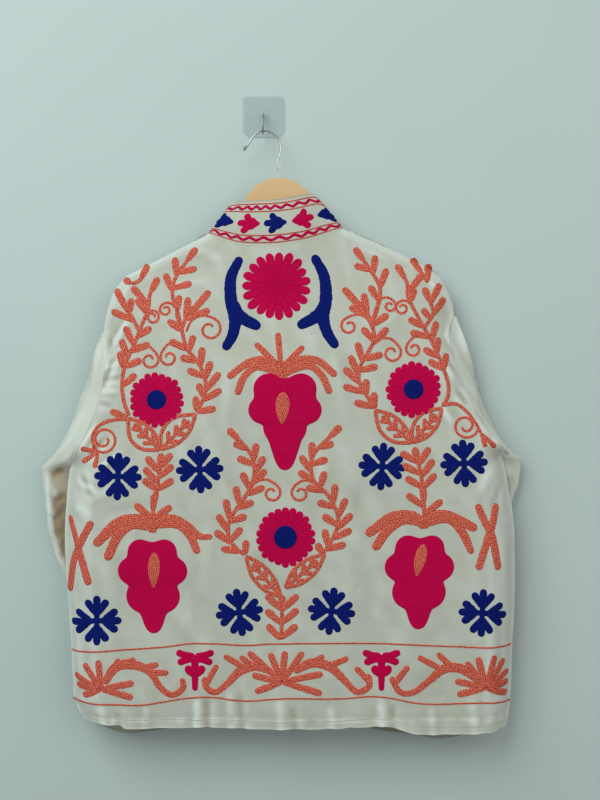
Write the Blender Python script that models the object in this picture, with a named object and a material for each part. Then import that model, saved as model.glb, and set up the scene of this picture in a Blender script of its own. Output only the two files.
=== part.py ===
"""An embroidered jacket seen from its back, on a wooden hanger that hangs from a wall hook.

Metres, +Z up. The wall is the plane y = 0 and everything is on its -Y side. The origin is the centre
of the wall plate's back face. The jacket's back faces -Y and its fronts lie towards the wall.
"""
import math

import bmesh
import bpy
import numpy as np

MM = 0.001

# cloth: its wall, the gaps at seams, and how full the back and fronts are
WALL = 0.0018
SEAM_GAP = 0.0003
CORNER_GAP = 0.0004
FRONT_GAP = 0.0006
RIDGE_Y = -0.027
SIDE_Y = -0.040
RIDGE_HALF = 0.0082
BACK_DEPTH = 0.035
FRONT_SIDE_DEPTH = 0.0042
FRONT_MID_DEPTH = 0.020
BACK_EDGE_RADIUS = 0.042
FRONT_EDGE_RADIUS = 0.010
MIDDLE_X = 0.020

# The outlines, each a table of (x, z) in millimetres.
LEFT_SIDE_MM = (
    (-247, -839), (-260, -813), (-264, -745), (-267, -697),
    (-271, -640), (-273, -590), (-271, -545), (-265, -492),
)
LEFT_ARMHOLE_MM = (
    (-265, -492), (-252, -470), (-235, -437), (-222, -400), (-216, -358), (-214, -328), (-220, -306),
)
LEFT_DROP_MM = ((-220, -306), (-215, -273), (-205, -246), (-190, -228))
LEFT_SHOULDER_MM = ((-190, -228), (-160, -213), (-103, -184), (-76, -170))
RIGHT_SIDE_MM = (
    (336, -851), (342, -814), (345, -737), (348, -677),
    (348, -601), (346, -564), (341, -530), (331, -480),
)
RIGHT_ARMHOLE_MM = ((331, -480), (320, -456), (300, -427), (281, -394), (267, -358), (258, -318), (265, -284))
RIGHT_DROP_MM = ((265, -284), (261, -257), (248, -232))
RIGHT_SHOULDER_MM = ((248, -232), (229, -217), (192, -198), (112, -163))
BACK_NECK_MM = ((-76, -170), (-53, -180), (-26, -187), (18, -188), (57, -182), (85, -173), (112, -163))
FRONT_NECK_LEFT_MM = ((-76, -170), (-52, -194), (-20, -211), (20, -218))
FRONT_NECK_RIGHT_MM = ((112, -163), (90, -190), (58, -210), (20, -218))
HEM_MM = (
    (-247, -839), (-194, -840), (-179, -844), (-103, -843), (26, -846), (96, -845), (164, -842), (205, -852),
    (249, -854), (336, -851),
)
FRONT_HEM_LEFT_MM = ((-247, -839), (-190, -846), (-100, -842), (20, -844))
FRONT_HEM_RIGHT_MM = ((336, -851), (250, -857), (150, -845), (20, -844))

# collar: its top line, and how the grid's columns are shared out round the neck
COLLAR_FRONT_LEFT_MM = ((20, -174), (-10, -167), (-34, -150), (-46, -135))
COLLAR_BACK_MM = ((-46, -135), (-38, -128), (10, -126), (37, -123), (62, -117), (72, -118), (79, -126))
COLLAR_FRONT_RIGHT_MM = ((79, -126), (74, -146), (52, -166), (20, -174))
FRONT_NECK_SHARES = np.array([0, 0.05, 0.12, 0.22, 0.36, 0.55, 0.77, 1.0])
BACK_NECK_SHARES = np.array([0, 0.03, 0.075, 0.15, 0.26, 0.38, 0.50, 0.62, 0.74, 0.85, 0.925, 0.97, 1.0])
COLLAR_Y = -0.031
COLLAR_HALF_FRONT = 0.0155
COLLAR_HALF_BACK = 0.0165
COLLAR_SWELL = 0.0025

# sleeves: rows from the crease at the elbow to the cuff, with columns z, outer x, inner x, near y, far y
LEFT_SLEEVE_MM = (
    (-495, -309, -176, -33.0, -6.0),
    (-502, -309, -177, -29.5, -6.0),
    (-514, -308, -179, -28.5, -5.5),
    (-534, -306, -181, -29.5, -5.0),
    (-586, -301, -180, -31.5, -5.0),
    (-620, -288, -172, -32.0, -5.0),
    (-652, -276, -163, -32.0, -5.0),
    (-690, -260, -150, -31.5, -5.0),
    (-737, -240, -134, -31.0, -5.0),
)
RIGHT_SLEEVE_MM = (
    (-483, 362, 232, -33.0, -6.0),
    (-490, 361, 231, -29.5, -6.0),
    (-502, 360, 229, -28.5, -5.5),
    (-520, 357, 226, -29.5, -5.0),
    (-549, 345, 216, -31.5, -5.0),
    (-590, 329, 203, -32.0, -5.0),
    (-630, 313, 191, -32.0, -5.0),
    (-675, 295, 177, -31.5, -5.0),
    (-720, 277, 163, -31.0, -5.0),
)
UPPER_ROWS = 10
BEND_OUT = 0.0036
BEND_BACK = 0.0068

# soft folds of the back, each along a line: (x, z) of its start and end, width and height, in millimetres
BACK_FOLDS_MM = (
    (-84, -700, -86, -850, 16, 2.4),
    (-44, -735, -46, -850, 14, -1.8),
    (28, -690, 26, -850, 18, 2.2),
    (165, -715, 168, -850, 20, 2.0),
    (225, -735, 228, -855, 17, -1.8),
    (-205, -560, -216, -790, 15, 1.6),
    (285, -560, 292, -790, 18, 1.8),
    (-182, -290, -222, -400, 11, 2.2),
    (-150, -335, -212, -455, 15, -1.6),
    (228, -300, 258, -410, 12, 2.0),
    (292, -526, 338, -506, 10, 1.8),
)

# hanger, hook and wall plate: the wire's table is (x, z), the pin's (y, z)
BOARD_THICK = 0.008
HEAD_MM = (22, -143)
HEAD_RADIUS = 0.051
ARM_LEFT_MM = (-176, -236)
ARM_RIGHT_MM = (233, -240)
ARM_TOP_LEFT_MM = ((-37, -162), (-52, -168), (-76, -177.5), (-103, -189), (-160, -218.5))
ARM_TOP_RIGHT_MM = ((82, -160.5), (94, -165), (112, -171), (192, -204), (218, -218))
ARM_DEPTH = 0.043
ARM_END_RADIUS = 0.008
WIRE_RADIUS = 0.0012
WIRE_END_RADIUS = 0.0026
WIRE_MM = (
    (-27, -53), (-20, -44), (-12, -33), (-1, -26), (14, -30),
    (23, -41), (24.5, -54), (21, -66), (19.5, -74), (22, -84),
)
PLATE_SIDE = 0.058
PLATE_CHAMFER = 0.008
PLATE_THICK = 0.002
BOSS_RADIUS = 0.0075
BOSS_Z = 0.003
PIN_RADIUS = 0.0014
PIN_YZ_MM = (
    (-6.5, 2.8), (-9.0, 2.2), (-12.5, -2.5), (-15.5, -13), (-19, -25.5),
    (-24, -29.2), (-30, -29.0), (-33, -25.5), (-34, -19),
)

MATERIALS = {
    "canvas": ((0.80, 0.78, 0.71), 0.92, 0.0),
    "ply": ((0.62, 0.45, 0.30), 0.55, 0.0),
    "chrome": ((0.80, 0.80, 0.82), 0.18, 1.0),
    "clear_plastic": ((0.86, 0.89, 0.88), 0.12, 0.0),
}


def material(name):
    """The named material, made once from its colour, roughness and metallic value."""
    found = bpy.data.materials.get(name)
    if found:
        return found
    colour, rough, metallic = MATERIALS[name]
    made = bpy.data.materials.new(name)
    made.use_nodes = True
    shader = made.node_tree.nodes["Principled BSDF"]
    shader.inputs["Base Color"].default_value = (*colour, 1.0)
    shader.inputs["Roughness"].default_value = rough
    shader.inputs["Metallic"].default_value = metallic
    return made


def make_object(name, vertices, faces, slot, smooth=True):
    """A mesh object with outward normals, in the scene's own collection."""
    mesh = bpy.data.meshes.new(name)
    mesh.from_pydata([tuple(map(float, v)) for v in vertices], [], [tuple(map(int, f)) for f in faces])
    work = bmesh.new()
    work.from_mesh(mesh)
    bmesh.ops.recalc_face_normals(work, faces=work.faces)
    work.to_mesh(mesh)
    work.free()
    mesh.materials.append(material(slot))
    mesh.polygons.foreach_set("use_smooth", [smooth] * len(mesh.polygons))
    made = bpy.data.objects.new(name, mesh)
    bpy.context.scene.collection.objects.link(made)
    return made


def smoothstep(value):
    """0 below 0, 1 above 1, and an S between."""
    t = np.clip(value, 0.0, 1.0)
    return t * t * (3.0 - 2.0 * t)


def curve(table, count=None, spacing=None):
    """Points on a Catmull-Rom line through a table in millimetres, at equal or given shares of its length."""
    points = np.array(table, dtype=float) * MM
    ends = np.vstack([2 * points[0] - points[1], points, 2 * points[-1] - points[-2]])
    t = np.linspace(0.0, 1.0, 17)[:-1, None]
    fine = []
    for k in range(len(points) - 1):
        a, b, c, d = ends[k : k + 4]
        fine.append(
            0.5 * (2 * b + (c - a) * t + (2 * a - 5 * b + 4 * c - d) * t**2 + (3 * b - 3 * c + d - a) * t**3)
        )
    fine = np.vstack(fine + [points[-1:]])
    along = np.concatenate([[0.0], np.cumsum(np.linalg.norm(np.diff(fine, axis=0), axis=1))])
    shares = np.linspace(0.0, 1.0, count) if spacing is None else np.asarray(spacing)
    at = shares * along[-1]
    return np.stack([np.interp(at, along, fine[:, k]) for k in range(fine.shape[1])], axis=1)


def distance(x, z, line):
    """The distance in the XZ plane from each point to a polyline."""
    p = np.stack([x, z], axis=-1)
    best = np.full(x.shape, 1e9)
    for a, b in zip(line[:-1], line[1:]):
        span = b - a
        t = np.clip(((p - a) @ span) / (span @ span), 0.0, 1.0)
        best = np.minimum(best, np.linalg.norm(p - a - t[..., None] * span, axis=-1))
    return best


# the outline that the cloth turns over, with the upper sleeves, and the two shoulder ridges
LEFT_ELBOW_MM = ((-309, -493), (-286, -453), (-268, -429), (-246, -388), (-234, -345))
RIGHT_ELBOW_MM = ((361, -482), (327, -432), (289, -374), (275, -330))
LEFT_OUTLINE_MM = LEFT_SIDE_MM + LEFT_ELBOW_MM + LEFT_DROP_MM[:1]
RIGHT_OUTLINE_MM = RIGHT_SIDE_MM + RIGHT_ELBOW_MM + RIGHT_DROP_MM[:1]
EDGE_LINES = [np.array(t, dtype=float) * MM for t in (LEFT_OUTLINE_MM, RIGHT_OUTLINE_MM)]
RIDGE_LINES = [
    np.array(t, dtype=float) * MM
    for t in (LEFT_DROP_MM + LEFT_SHOULDER_MM[1:], RIGHT_DROP_MM + RIGHT_SHOULDER_MM[1:])
]


def seam_y(z):
    """The plane where back and front meet: over the hanger at the top, further from the wall below."""
    return RIDGE_Y + (SIDE_Y - RIDGE_Y) * smoothstep((-0.205 - z) / 0.200)


def rounding(d, radius):
    """The height of a quarter circle of the given radius at a distance from its edge, as a share."""
    return np.sqrt(np.clip(1.0 - (1.0 - np.clip(d / radius, 0.0, 1.0)) ** 2, 0.0, 1.0))


def ridge_distance(x, z):
    """The distance to the nearer shoulder ridge, with the change from one to the other rounded off."""
    left, right = (np.maximum(distance(x, z, line), 1e-7) for line in RIDGE_LINES)
    return (left**-4 + right**-4) ** -0.25


def easing(d, radius):
    """The height of a parabola that levels off at the given distance from its edge, as a share."""
    return 1.0 - (1.0 - np.clip(d / radius, 0.0, 1.0)) ** 2


def folds(x, z):
    """Soft folds of the back: a bell across each line that fades in and out along it."""
    total = np.zeros_like(x)
    for x0, z0, x1, z1, width, height in BACK_FOLDS_MM:
        start, end = np.array([x0, z0]) * MM, np.array([x1, z1]) * MM
        span = end - start
        away_x, away_z = x - start[0], z - start[1]
        along = (away_x * span[0] + away_z * span[1]) / (span @ span)
        across = (away_x * span[1] - away_z * span[0]) / np.sqrt(span @ span)
        fade = smoothstep(along / 0.45) * (1.0 if z1 <= -850 else smoothstep((1.0 - along) / 0.45))
        total += height * MM * fade * np.exp(-((across / (width * MM)) ** 2))
    return total


def back_y(x, z):
    """The outer face of the back: a ridge over the hanger that fills out below it and turns in at the sides."""
    edge = np.minimum(distance(x, z, EDGE_LINES[0]), distance(x, z, EDGE_LINES[1]))
    ridge = ridge_distance(x, z)
    fill = RIDGE_HALF + (BACK_DEPTH - RIDGE_HALF) * easing(ridge, 0.250)
    depth = fill * np.minimum(rounding(ridge, RIDGE_HALF), easing(edge, BACK_EDGE_RADIUS))
    return seam_y(z) - depth - folds(x, z) * easing(edge, BACK_EDGE_RADIUS)


def front_y(x, z):
    """The outer face of the fronts: close behind the side seam over the sleeves, fuller in the middle."""
    edge = np.minimum(distance(x, z, EDGE_LINES[0]), distance(x, z, EDGE_LINES[1]))
    ridge = ridge_distance(x, z)
    low = smoothstep((ridge - 0.035) / 0.080)
    middle = smoothstep((0.150 - np.abs(x - MIDDLE_X)) / 0.070) * smoothstep((ridge - 0.03) / 0.120)
    depth = RIDGE_HALF * (1.0 - low) + FRONT_SIDE_DEPTH * low + (FRONT_MID_DEPTH - FRONT_SIDE_DEPTH) * middle
    return seam_y(z) + depth * np.minimum(rounding(ridge, RIDGE_HALF), easing(edge, FRONT_EDGE_RADIUS))


def patch(bottom, top, left, right, u, v):
    """A four-sided patch in the XZ plane between its boundary lines, by transfinite interpolation."""
    u, v = u[None, :, None], v[:, None, None]
    ruled = (1 - v) * bottom[None] + v * top[None] + (1 - u) * left[:, None] + u * right[:, None]
    corners = (
        (1 - u) * (1 - v) * bottom[0] + u * (1 - v) * bottom[-1] + (1 - u) * v * top[0] + u * v * top[-1]
    )
    return ruled - corners


def unit(v):
    """Vectors scaled to length one."""
    return v / np.maximum(np.linalg.norm(v, axis=-1, keepdims=True), 1e-12)


def grid_normals(points, towards, wrap=False):
    """Vertex normals of a grid from its central differences, turned to the side of `towards`."""
    if wrap:
        across = np.roll(points, -1, axis=1) - np.roll(points, 1, axis=1)
    else:
        across = np.gradient(points, axis=1)
    normals = unit(np.cross(across, np.gradient(points, axis=0)))
    if towards is None:
        return normals
    side = np.sign((normals * towards).sum(axis=-1, keepdims=True))
    return normals * np.where(side == 0, 1, side)


def relax(normals, rounds=3):
    """Evens out the directions inside a grid and leaves those on its edges."""
    for _ in range(rounds):
        near = normals[:-2, 1:-1] + normals[2:, 1:-1] + normals[1:-1, :-2] + normals[1:-1, 2:]
        normals[1:-1, 1:-1] = unit(2 * normals[1:-1, 1:-1] + near)


def wall(points, normals, wrap=False, thick=WALL):
    """The closed wall between a grid and the same grid moved inward along its normals."""
    rows, cols = points.shape[:2]
    outer = np.arange(rows * cols).reshape(rows, cols)
    inner = outer + rows * cols
    if wrap:
        outer = np.column_stack([outer, outer[:, 0]])
        inner = np.column_stack([inner, inner[:, 0]])
    faces = []
    for skin in (outer, inner[:, ::-1]):
        quads = np.stack([skin[:-1, :-1], skin[:-1, 1:], skin[1:, 1:], skin[1:, :-1]], axis=-1)
        faces.extend(quads.reshape(-1, 4).tolist())
    rims = [(outer[0], inner[0]), (outer[-1], inner[-1])]
    if not wrap:
        rims += [(outer[:, 0], inner[:, 0]), (outer[:, -1], inner[:, -1])]
    for a, b in rims:
        faces.extend(np.stack([a[:-1], a[1:], b[1:], b[:-1]], axis=-1).tolist())
    vertices = np.vstack([points.reshape(-1, 3), (points - thick * normals).reshape(-1, 3)])
    return vertices, faces


def outward(line, towards_x):
    """Unit normals of a line in the XZ plane, on the side that points to +X or -X, or up where it is level."""
    step = np.gradient(line, axis=0)
    normal = unit(np.stack([-step[:, 1], step[:, 0]], axis=1))
    score = normal[:, 0] * towards_x + 0.9 * normal[:, 1]
    return normal * np.where(score < 0, -1, 1)[:, None]


# spacing of the grid's rows up each edge: the side, the armhole, then the drop to the hanger's end
SIDE_SHARES = np.array([0, 0.012, 0.07, 0.15, 0.24, 0.33, 0.42, 0.51, 0.60, 0.69, 0.78, 0.87, 0.94, 0.985, 1.0])
ARM_SHARES = np.array([0, 0.025, 0.07, 0.13, 0.21, 0.31, 0.43, 0.56, 0.69, 0.81, 0.90, 0.965, 1.0])
DROP_SHARES = np.array([0, 0.18, 0.36, 0.54, 0.68, 0.80, 0.885, 0.945, 0.985, 1.0])
BACK_U = np.concatenate([
    [0.0, 0.005, 0.016, 0.034, 0.058, 0.09, 0.13], np.linspace(0.175, 0.825, 16),
    [0.87, 0.91, 0.942, 0.966, 0.984, 0.995, 1.0],
])
FRONT_U = np.array([0, 0.006, 0.018, 0.036, 0.075, 0.13, 0.2, 0.28, 0.37, 0.46, 0.55, 0.64, 0.73, 0.82, 0.91, 1.0])
SHOULDER_POINTS = 9
ROW_UNDERARM = len(SIDE_SHARES) - 1
ROW_SEAM_TOP = ROW_UNDERARM + len(ARM_SHARES) - 1


def edge_line(side, armhole, drop):
    """One edge of a body panel, from the hem's corner up to the hanger's end."""
    parts = [curve(side, spacing=SIDE_SHARES), curve(armhole, spacing=ARM_SHARES), curve(drop, spacing=DROP_SHARES)]
    return np.vstack([parts[0], parts[1][1:], parts[2][1:]])


LEFT_EDGE = edge_line(LEFT_SIDE_MM, LEFT_ARMHOLE_MM, LEFT_DROP_MM)
RIGHT_EDGE = edge_line(RIGHT_SIDE_MM, RIGHT_ARMHOLE_MM, RIGHT_DROP_MM)
UNDERARM_NORMAL = {-1: unit(np.array([-1.0, 0.0, -1.0])), 1: unit(np.array([1.0, 0.0, -1.0]))}
EDGE_V = np.concatenate([
    0.58 * SIDE_SHARES, 0.58 + 0.26 * ARM_SHARES[1:], 0.84 + 0.16 * DROP_SHARES[1:],
])


def seam_normals(normals, column, line, side):
    """Sets the wall's direction along the side seam and the drop, where back and front face each other."""
    out = outward(line, side)
    flat = np.stack([out[:, 0], np.zeros(len(out)), out[:, 1]], axis=1)
    rows = np.r_[0 : ROW_UNDERARM, ROW_SEAM_TOP : len(line)]
    normals[rows, column] = flat[rows]
    normals[ROW_UNDERARM, column] = UNDERARM_NORMAL[side]


def build_back():
    """The back panel: its points and its wall's directions, rows from hem to shoulders."""
    shoulder_left = curve(LEFT_SHOULDER_MM, count=SHOULDER_POINTS)
    shoulder_right = curve(RIGHT_SHOULDER_MM[::-1], count=SHOULDER_POINTS + 1)
    neck = curve(BACK_NECK_MM, spacing=BACK_NECK_SHARES)
    top = np.vstack([shoulder_left, neck[1:], shoulder_right[1:]])
    u = BACK_U
    bottom = curve(HEM_MM, spacing=u)
    flat = patch(bottom, top, LEFT_EDGE, RIGHT_EDGE, u, EDGE_V)
    x, z = flat[..., 0], flat[..., 1]
    y = back_y(x, z)
    ridge = list(range(SHOULDER_POINTS)) + list(range(len(u) - SHOULDER_POINTS - 1, len(u)))
    y[-1, ridge] = RIDGE_Y
    y[: ROW_UNDERARM + 1, [0, -1]] = seam_y(z[: ROW_UNDERARM + 1, [0, -1]])
    y[ROW_SEAM_TOP:, [0, -1]] = seam_y(z[ROW_SEAM_TOP:, [0, -1]])
    points = np.stack([x, y, z], axis=-1)
    normals = grid_normals(points, np.array([0.0, -1.0, 0.0]))
    seam_normals(normals, 0, LEFT_EDGE, -1)
    seam_normals(normals, -1, RIGHT_EDGE, 1)
    ridge_normals(normals[-1], top, ridge)
    relax(normals)
    return points, normals


def ridge_normals(row, line, where):
    """Sets the wall's direction along the shoulder seams: square to the seam, in the XZ plane."""
    out = outward(line, 0.0)
    for k in where:
        row[k] = (out[k, 0], 0.0, out[k, 1])


def build_front(edge, shoulder, neck, hem, side):
    """A front panel: its points and its wall's directions, columns from the side to the centre front."""
    shoulder_line = curve(shoulder, count=SHOULDER_POINTS)
    neck_line = curve(neck, spacing=FRONT_NECK_SHARES)
    top = np.vstack([shoulder_line, neck_line[1:]])
    u = FRONT_U
    centre = MIDDLE_X + side * FRONT_GAP / 2
    top[-1, 0] = centre
    bottom = curve(hem, spacing=u)
    bottom[-1, 0] = centre
    v = EDGE_V
    inner = np.stack([np.full(len(v), centre), bottom[-1, 1] + (top[-1, 1] - bottom[-1, 1]) * v], axis=1)
    flat = patch(bottom, top, edge, inner, u, v)
    x, z = flat[..., 0], flat[..., 1]
    y = front_y(x, z)
    y[-1, :SHOULDER_POINTS] = RIDGE_Y
    y[: ROW_UNDERARM + 1, 0] = seam_y(z[: ROW_UNDERARM + 1, 0])
    y[ROW_SEAM_TOP:, 0] = seam_y(z[ROW_SEAM_TOP:, 0])
    points = np.stack([x, y, z], axis=-1)
    normals = grid_normals(points, np.array([0.0, 1.0, 0.0]))
    seam_normals(normals, 0, edge, side)
    ridge_normals(normals[-1], top, range(SHOULDER_POINTS))
    relax(normals)
    return points, normals


def sleeve_ring(row, angles, side):
    """A flattened ring in a level plane: (x, y) from the top of the sleeve, over the near face, to the far."""
    z, outer, inner, near, far = (value * MM for value in row)
    middle_x, half_x = (outer + inner) / 2, abs(outer - inner) / 2
    middle_y, half_y = (near + far) / 2, abs(near - far) / 2
    c, s = np.cos(angles), np.sin(angles)
    x = middle_x + side * half_x * np.sign(c) * np.abs(c) ** 0.9
    y = middle_y + half_y * np.sign(s) * np.abs(s) ** 0.7
    return np.stack([x, y, np.full_like(x, z)], axis=1)


def build_sleeve(back, back_normals, front, front_normals, column, front_column, rows, side):
    """A sleeve's points and wall directions: the armhole ring, the way to the crease, then down to the cuff."""
    arm = np.arange(ROW_SEAM_TOP, ROW_UNDERARM - 1, -1)
    step = -1 if column else 1
    back_edge, front_edge = back[arm, column], front[arm, front_column]
    back_out = unit(back_edge - back[arm, column + step])
    front_out = unit(front_edge - front[arm, front_column + 1])
    top_out = unit(np.array([side * 0.25, 0.0, -0.97]))
    low_out = unit(np.array([side * 1.0, 0.0, 1.0]))
    for out in (back_out, front_out):
        out[0], out[-1] = top_out, low_out
    ring = np.vstack([back_edge, front_edge[::-1][1:-1]])
    out = np.vstack([back_out, front_out[::-1][1:-1]])
    normal = np.vstack([back_normals[arm, column], front_normals[arm, front_column][::-1][1:-1]])
    count, half = len(ring), len(arm) - 1
    low_corner = np.exp(-(((np.arange(count) - half) / 1.5) ** 2))
    ring = ring + (SEAM_GAP + CORNER_GAP * low_corner[:, None]) * out
    ring[0, 1], ring[half, 1] = seam_y(ring[0, 2]), seam_y(ring[half, 2])
    place = np.arange(count)
    # from the top seam over the near face to the underarm, then over the far face
    knots = [0, 0.5 * half, half, 1.3 * half, 2 * half]
    turn = np.interp(place, knots, np.radians([38, 0, -68, -150, -322]))
    crease = sleeve_ring(rows[0], turn, side)
    front_share = np.clip((place - half) / half, 0.0, 1.0)
    bend = smoothstep(front_share / 0.10) * smoothstep((1.0 - front_share) / 0.10)
    towards_wall = np.array([0.0, 1.0, 0.0])
    levels = [ring]
    for w, away, deep in ((0.0, 1.0, 0.12), (0.05, 1.0, 1.0)):
        move = BEND_OUT * away * out + bend[:, None] * BEND_BACK * deep * towards_wall
        levels.append(ring + w * (crease - ring) + move)
    for k in range(1, UPPER_ROWS + 1):
        w = 0.05 + 0.95 * (k / UPPER_ROWS)
        away = 1.0 - smoothstep((w - 0.05) / 0.6)
        move = BEND_OUT * away * out + bend[:, None] * BEND_BACK * (1.0 - w) * towards_wall
        full = 0.004 * math.sin(math.pi * w) * np.where(place < half, np.sin(np.pi * place / half), 0.0)
        levels.append(ring + w * (crease - ring) + move - full[:, None] * towards_wall)
    rings = [sleeve_ring(row, turn, side) for row in rows[1:]]
    fine = []
    for a, b in zip([levels[-1]] + rings[:-1], rings):
        parts = max(1, int(round(abs(b[0, 2] - a[0, 2]) / 0.024)))
        fine.extend(a + (b - a) * (k + 1) / parts for k in range(parts))
    points = np.array(levels + fine)
    normals = grid_normals(points, None, wrap=True)
    middle = points.mean(axis=1, keepdims=True)
    if ((points - middle)[-3:] * normals[-3:]).sum() < 0:
        normals = -normals
    for _ in range(3):
        normals[0] = normal
        near = sum(np.roll(normals, step, axis=axis) for axis in (0, 1) for step in (1, -1))
        normals[1:-1] = unit(2 * normals + near)[1:-1]
    return points, normals


def build_collar(back, front_left, front_right, normals):
    """The collar's points and wall directions: the neck edge of the panels, and the narrower ring at its top."""
    first_neck = SHOULDER_POINTS - 1
    last_neck = first_neck + len(BACK_NECK_SHARES) - 1

    def around_neck(left, behind, right):
        return np.vstack([left[first_neck:][::-1][:-1], behind[first_neck : last_neck + 1], right[first_neck:][1:]])

    neck = around_neck(front_left[-1], back[-1], front_right[-1])
    wall_way = around_neck(normals[1][-1], normals[0][-1], normals[2][-1])
    parts = (
        curve(COLLAR_FRONT_LEFT_MM, spacing=(1.0 - FRONT_NECK_SHARES)[::-1]),
        curve(COLLAR_BACK_MM, spacing=BACK_NECK_SHARES)[1:],
        curve(COLLAR_FRONT_RIGHT_MM, spacing=FRONT_NECK_SHARES)[1:],
    )
    top_line = np.vstack(parts)
    top_line[0, 0] = MIDDLE_X - FRONT_GAP / 2
    top_line[-1, 0] = MIDDLE_X + FRONT_GAP / 2
    shares = np.concatenate([
        1.0 - FRONT_NECK_SHARES[::-1], 1.0 + 2.0 * BACK_NECK_SHARES[1:], 3.0 + FRONT_NECK_SHARES[1:]
    ])
    round_it = 0.5 * math.pi * shares
    swing = np.cos(round_it)
    squared = np.sign(swing) * np.abs(swing) ** 0.45
    top_y = COLLAR_Y + np.where(swing > 0, COLLAR_HALF_FRONT, COLLAR_HALF_BACK) * squared
    top = np.stack([top_line[:, 0], top_y, top_line[:, 1]], axis=1)
    leave = [unit(grid[-1] - grid[-2]) for grid in (front_left, back, front_right)]
    leave[1][[first_neck, last_neck]] = (0.0, 0.0, 1.0)
    out = around_neck(*leave)
    left_corner = np.exp(-(((shares - 0.95) / 0.15) ** 2))
    first = neck + (SEAM_GAP + 2.5 * CORNER_GAP * left_corner)[:, None] * out
    levels = [first]
    for w in (0.12, 0.3, 0.5, 0.7, 0.88, 1.0):
        stand = COLLAR_SWELL * math.sin(math.pi * w)
        away = np.stack([neck[:, 0] - MIDDLE_X, 2.2 * (neck[:, 1] - COLLAR_Y), np.zeros(len(neck))], axis=1)
        levels.append(first + w * (top - first) + stand * unit(away))
    points = np.array(levels)
    away = points - np.array([MIDDLE_X, COLLAR_Y, 0.0])
    away[..., 2] = 0.0
    faces_out = grid_normals(points, away)
    faces_out[0] = wall_way
    return points, faces_out


def tube(path, radius, sides, start_radius=None):
    """A round bar along a path, closed by flat ends, with its sections kept from twisting."""
    path = np.asarray(path, dtype=float)
    along = unit(np.gradient(path, axis=0))
    side = unit(np.cross(along[0], np.array([0.3, 0.9, 0.2])))
    radii = np.broadcast_to(np.asarray(radius, dtype=float), (len(path),))
    angles = np.linspace(0.0, 2 * math.pi, sides, endpoint=False)
    vertices = []
    for p, d, r in zip(path, along, radii):
        side = unit(side - (side @ d) * d)
        other = np.cross(d, side)
        vertices.append(p + r * (np.cos(angles)[:, None] * side + np.sin(angles)[:, None] * other))
    rings = np.arange(len(path) * sides).reshape(len(path), sides)
    faces = [tuple(rings[0][::-1]), tuple(rings[-1])]
    for a, b in zip(rings[:-1], rings[1:]):
        faces.extend(zip(a, np.roll(a, -1), np.roll(b, -1), b))
    return np.vstack(vertices), faces


def slab(outline, y_from, y_to, bevel):
    """A flat board with the given XZ outline and softened edges, its faces square to Y."""
    outline = np.asarray(outline, dtype=float)
    step = np.roll(outline, -1, axis=0) - np.roll(outline, 1, axis=0)
    normal = unit(np.stack([step[:, 1], -step[:, 0]], axis=1))
    area = 0.5 * np.sum(outline[:, 0] * np.roll(outline[:, 1], -1) - np.roll(outline[:, 0], -1) * outline[:, 1])
    inset = outline - np.sign(area) * bevel * normal
    layers = ((inset, y_from), (outline, y_from + bevel), (outline, y_to - bevel), (inset, y_to))
    vertices = np.vstack([np.stack([o[:, 0], np.full(len(o), y), o[:, 1]], axis=1) for o, y in layers])
    n = len(outline)
    rings = np.arange(4 * n).reshape(4, n)
    faces = [tuple(rings[0]), tuple(rings[-1][::-1])]
    for a, b in zip(rings[:-1], rings[1:]):
        faces.extend(zip(a, b, np.roll(b, -1), np.roll(a, -1)))
    return vertices, faces


def board_outline():
    """The hanger's board: a round head, sloping arms with round ends, and a straight lower edge along each."""
    head = np.array(HEAD_MM) * MM
    turn = np.radians(np.linspace(-15.0, 195.0, 22))
    circle = head + HEAD_RADIUS * np.stack([np.cos(turn), np.sin(turn)], axis=1)
    ends = []
    for tip, start in ((ARM_LEFT_MM, 115.0), (ARM_RIGHT_MM, -115.0)):
        angle = np.radians(start + np.linspace(0.0, 180.0, 7))
        ends.append(np.array(tip) * MM + ARM_END_RADIUS * np.stack([np.cos(angle), np.sin(angle)], axis=1))
    left_top, right_top = (np.array(t, dtype=float) * MM for t in (ARM_TOP_LEFT_MM, ARM_TOP_RIGHT_MM))
    low = head - np.array([[0.0, ARM_DEPTH]])
    return np.vstack([circle, left_top, ends[0], low, ends[1], right_top[::-1]])


def cut(target, vertices, faces, name, operation="DIFFERENCE"):
    """Joins or cuts a solid with an exact Boolean, whose tool stays in the scene as a hidden wire."""
    tool = make_object(name, vertices, faces, target.data.materials[0].name)
    tool.hide_render = True
    tool.display_type = "WIRE"
    change = target.modifiers.new(name, "BOOLEAN")
    change.operation = operation
    change.solver = "EXACT"
    change.object = tool


for old in list(bpy.data.objects):
    bpy.data.objects.remove(old, do_unlink=True)

# the body panels
back_points, back_normals = build_back()
left_points, left_normals = build_front(
    LEFT_EDGE, LEFT_SHOULDER_MM, FRONT_NECK_LEFT_MM, FRONT_HEM_LEFT_MM, -1
)
right_points, right_normals = build_front(
    RIGHT_EDGE, RIGHT_SHOULDER_MM, FRONT_NECK_RIGHT_MM, FRONT_HEM_RIGHT_MM, 1
)
sleeves = [
    build_sleeve(back_points, back_normals, left_points, left_normals, 0, 0, LEFT_SLEEVE_MM, -1),
    build_sleeve(back_points, back_normals, right_points, right_normals, -1, 0, RIGHT_SLEEVE_MM, 1),
]
collar_points, collar_normals = build_collar(
    back_points, left_points, right_points, (back_normals, left_normals, right_normals)
)
APART = np.array([0.0, SEAM_GAP / 2, 0.0])
make_object("back_panel", *wall(back_points - APART, back_normals), "canvas")
make_object("left_front", *wall(left_points + APART, left_normals), "canvas")
make_object("right_front", *wall(right_points + APART, right_normals), "canvas")
make_object("left_sleeve", *wall(*sleeves[0], wrap=True), "canvas")
make_object("right_sleeve", *wall(*sleeves[1], wrap=True), "canvas")
make_object("collar", *wall(collar_points, collar_normals), "canvas")

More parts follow.
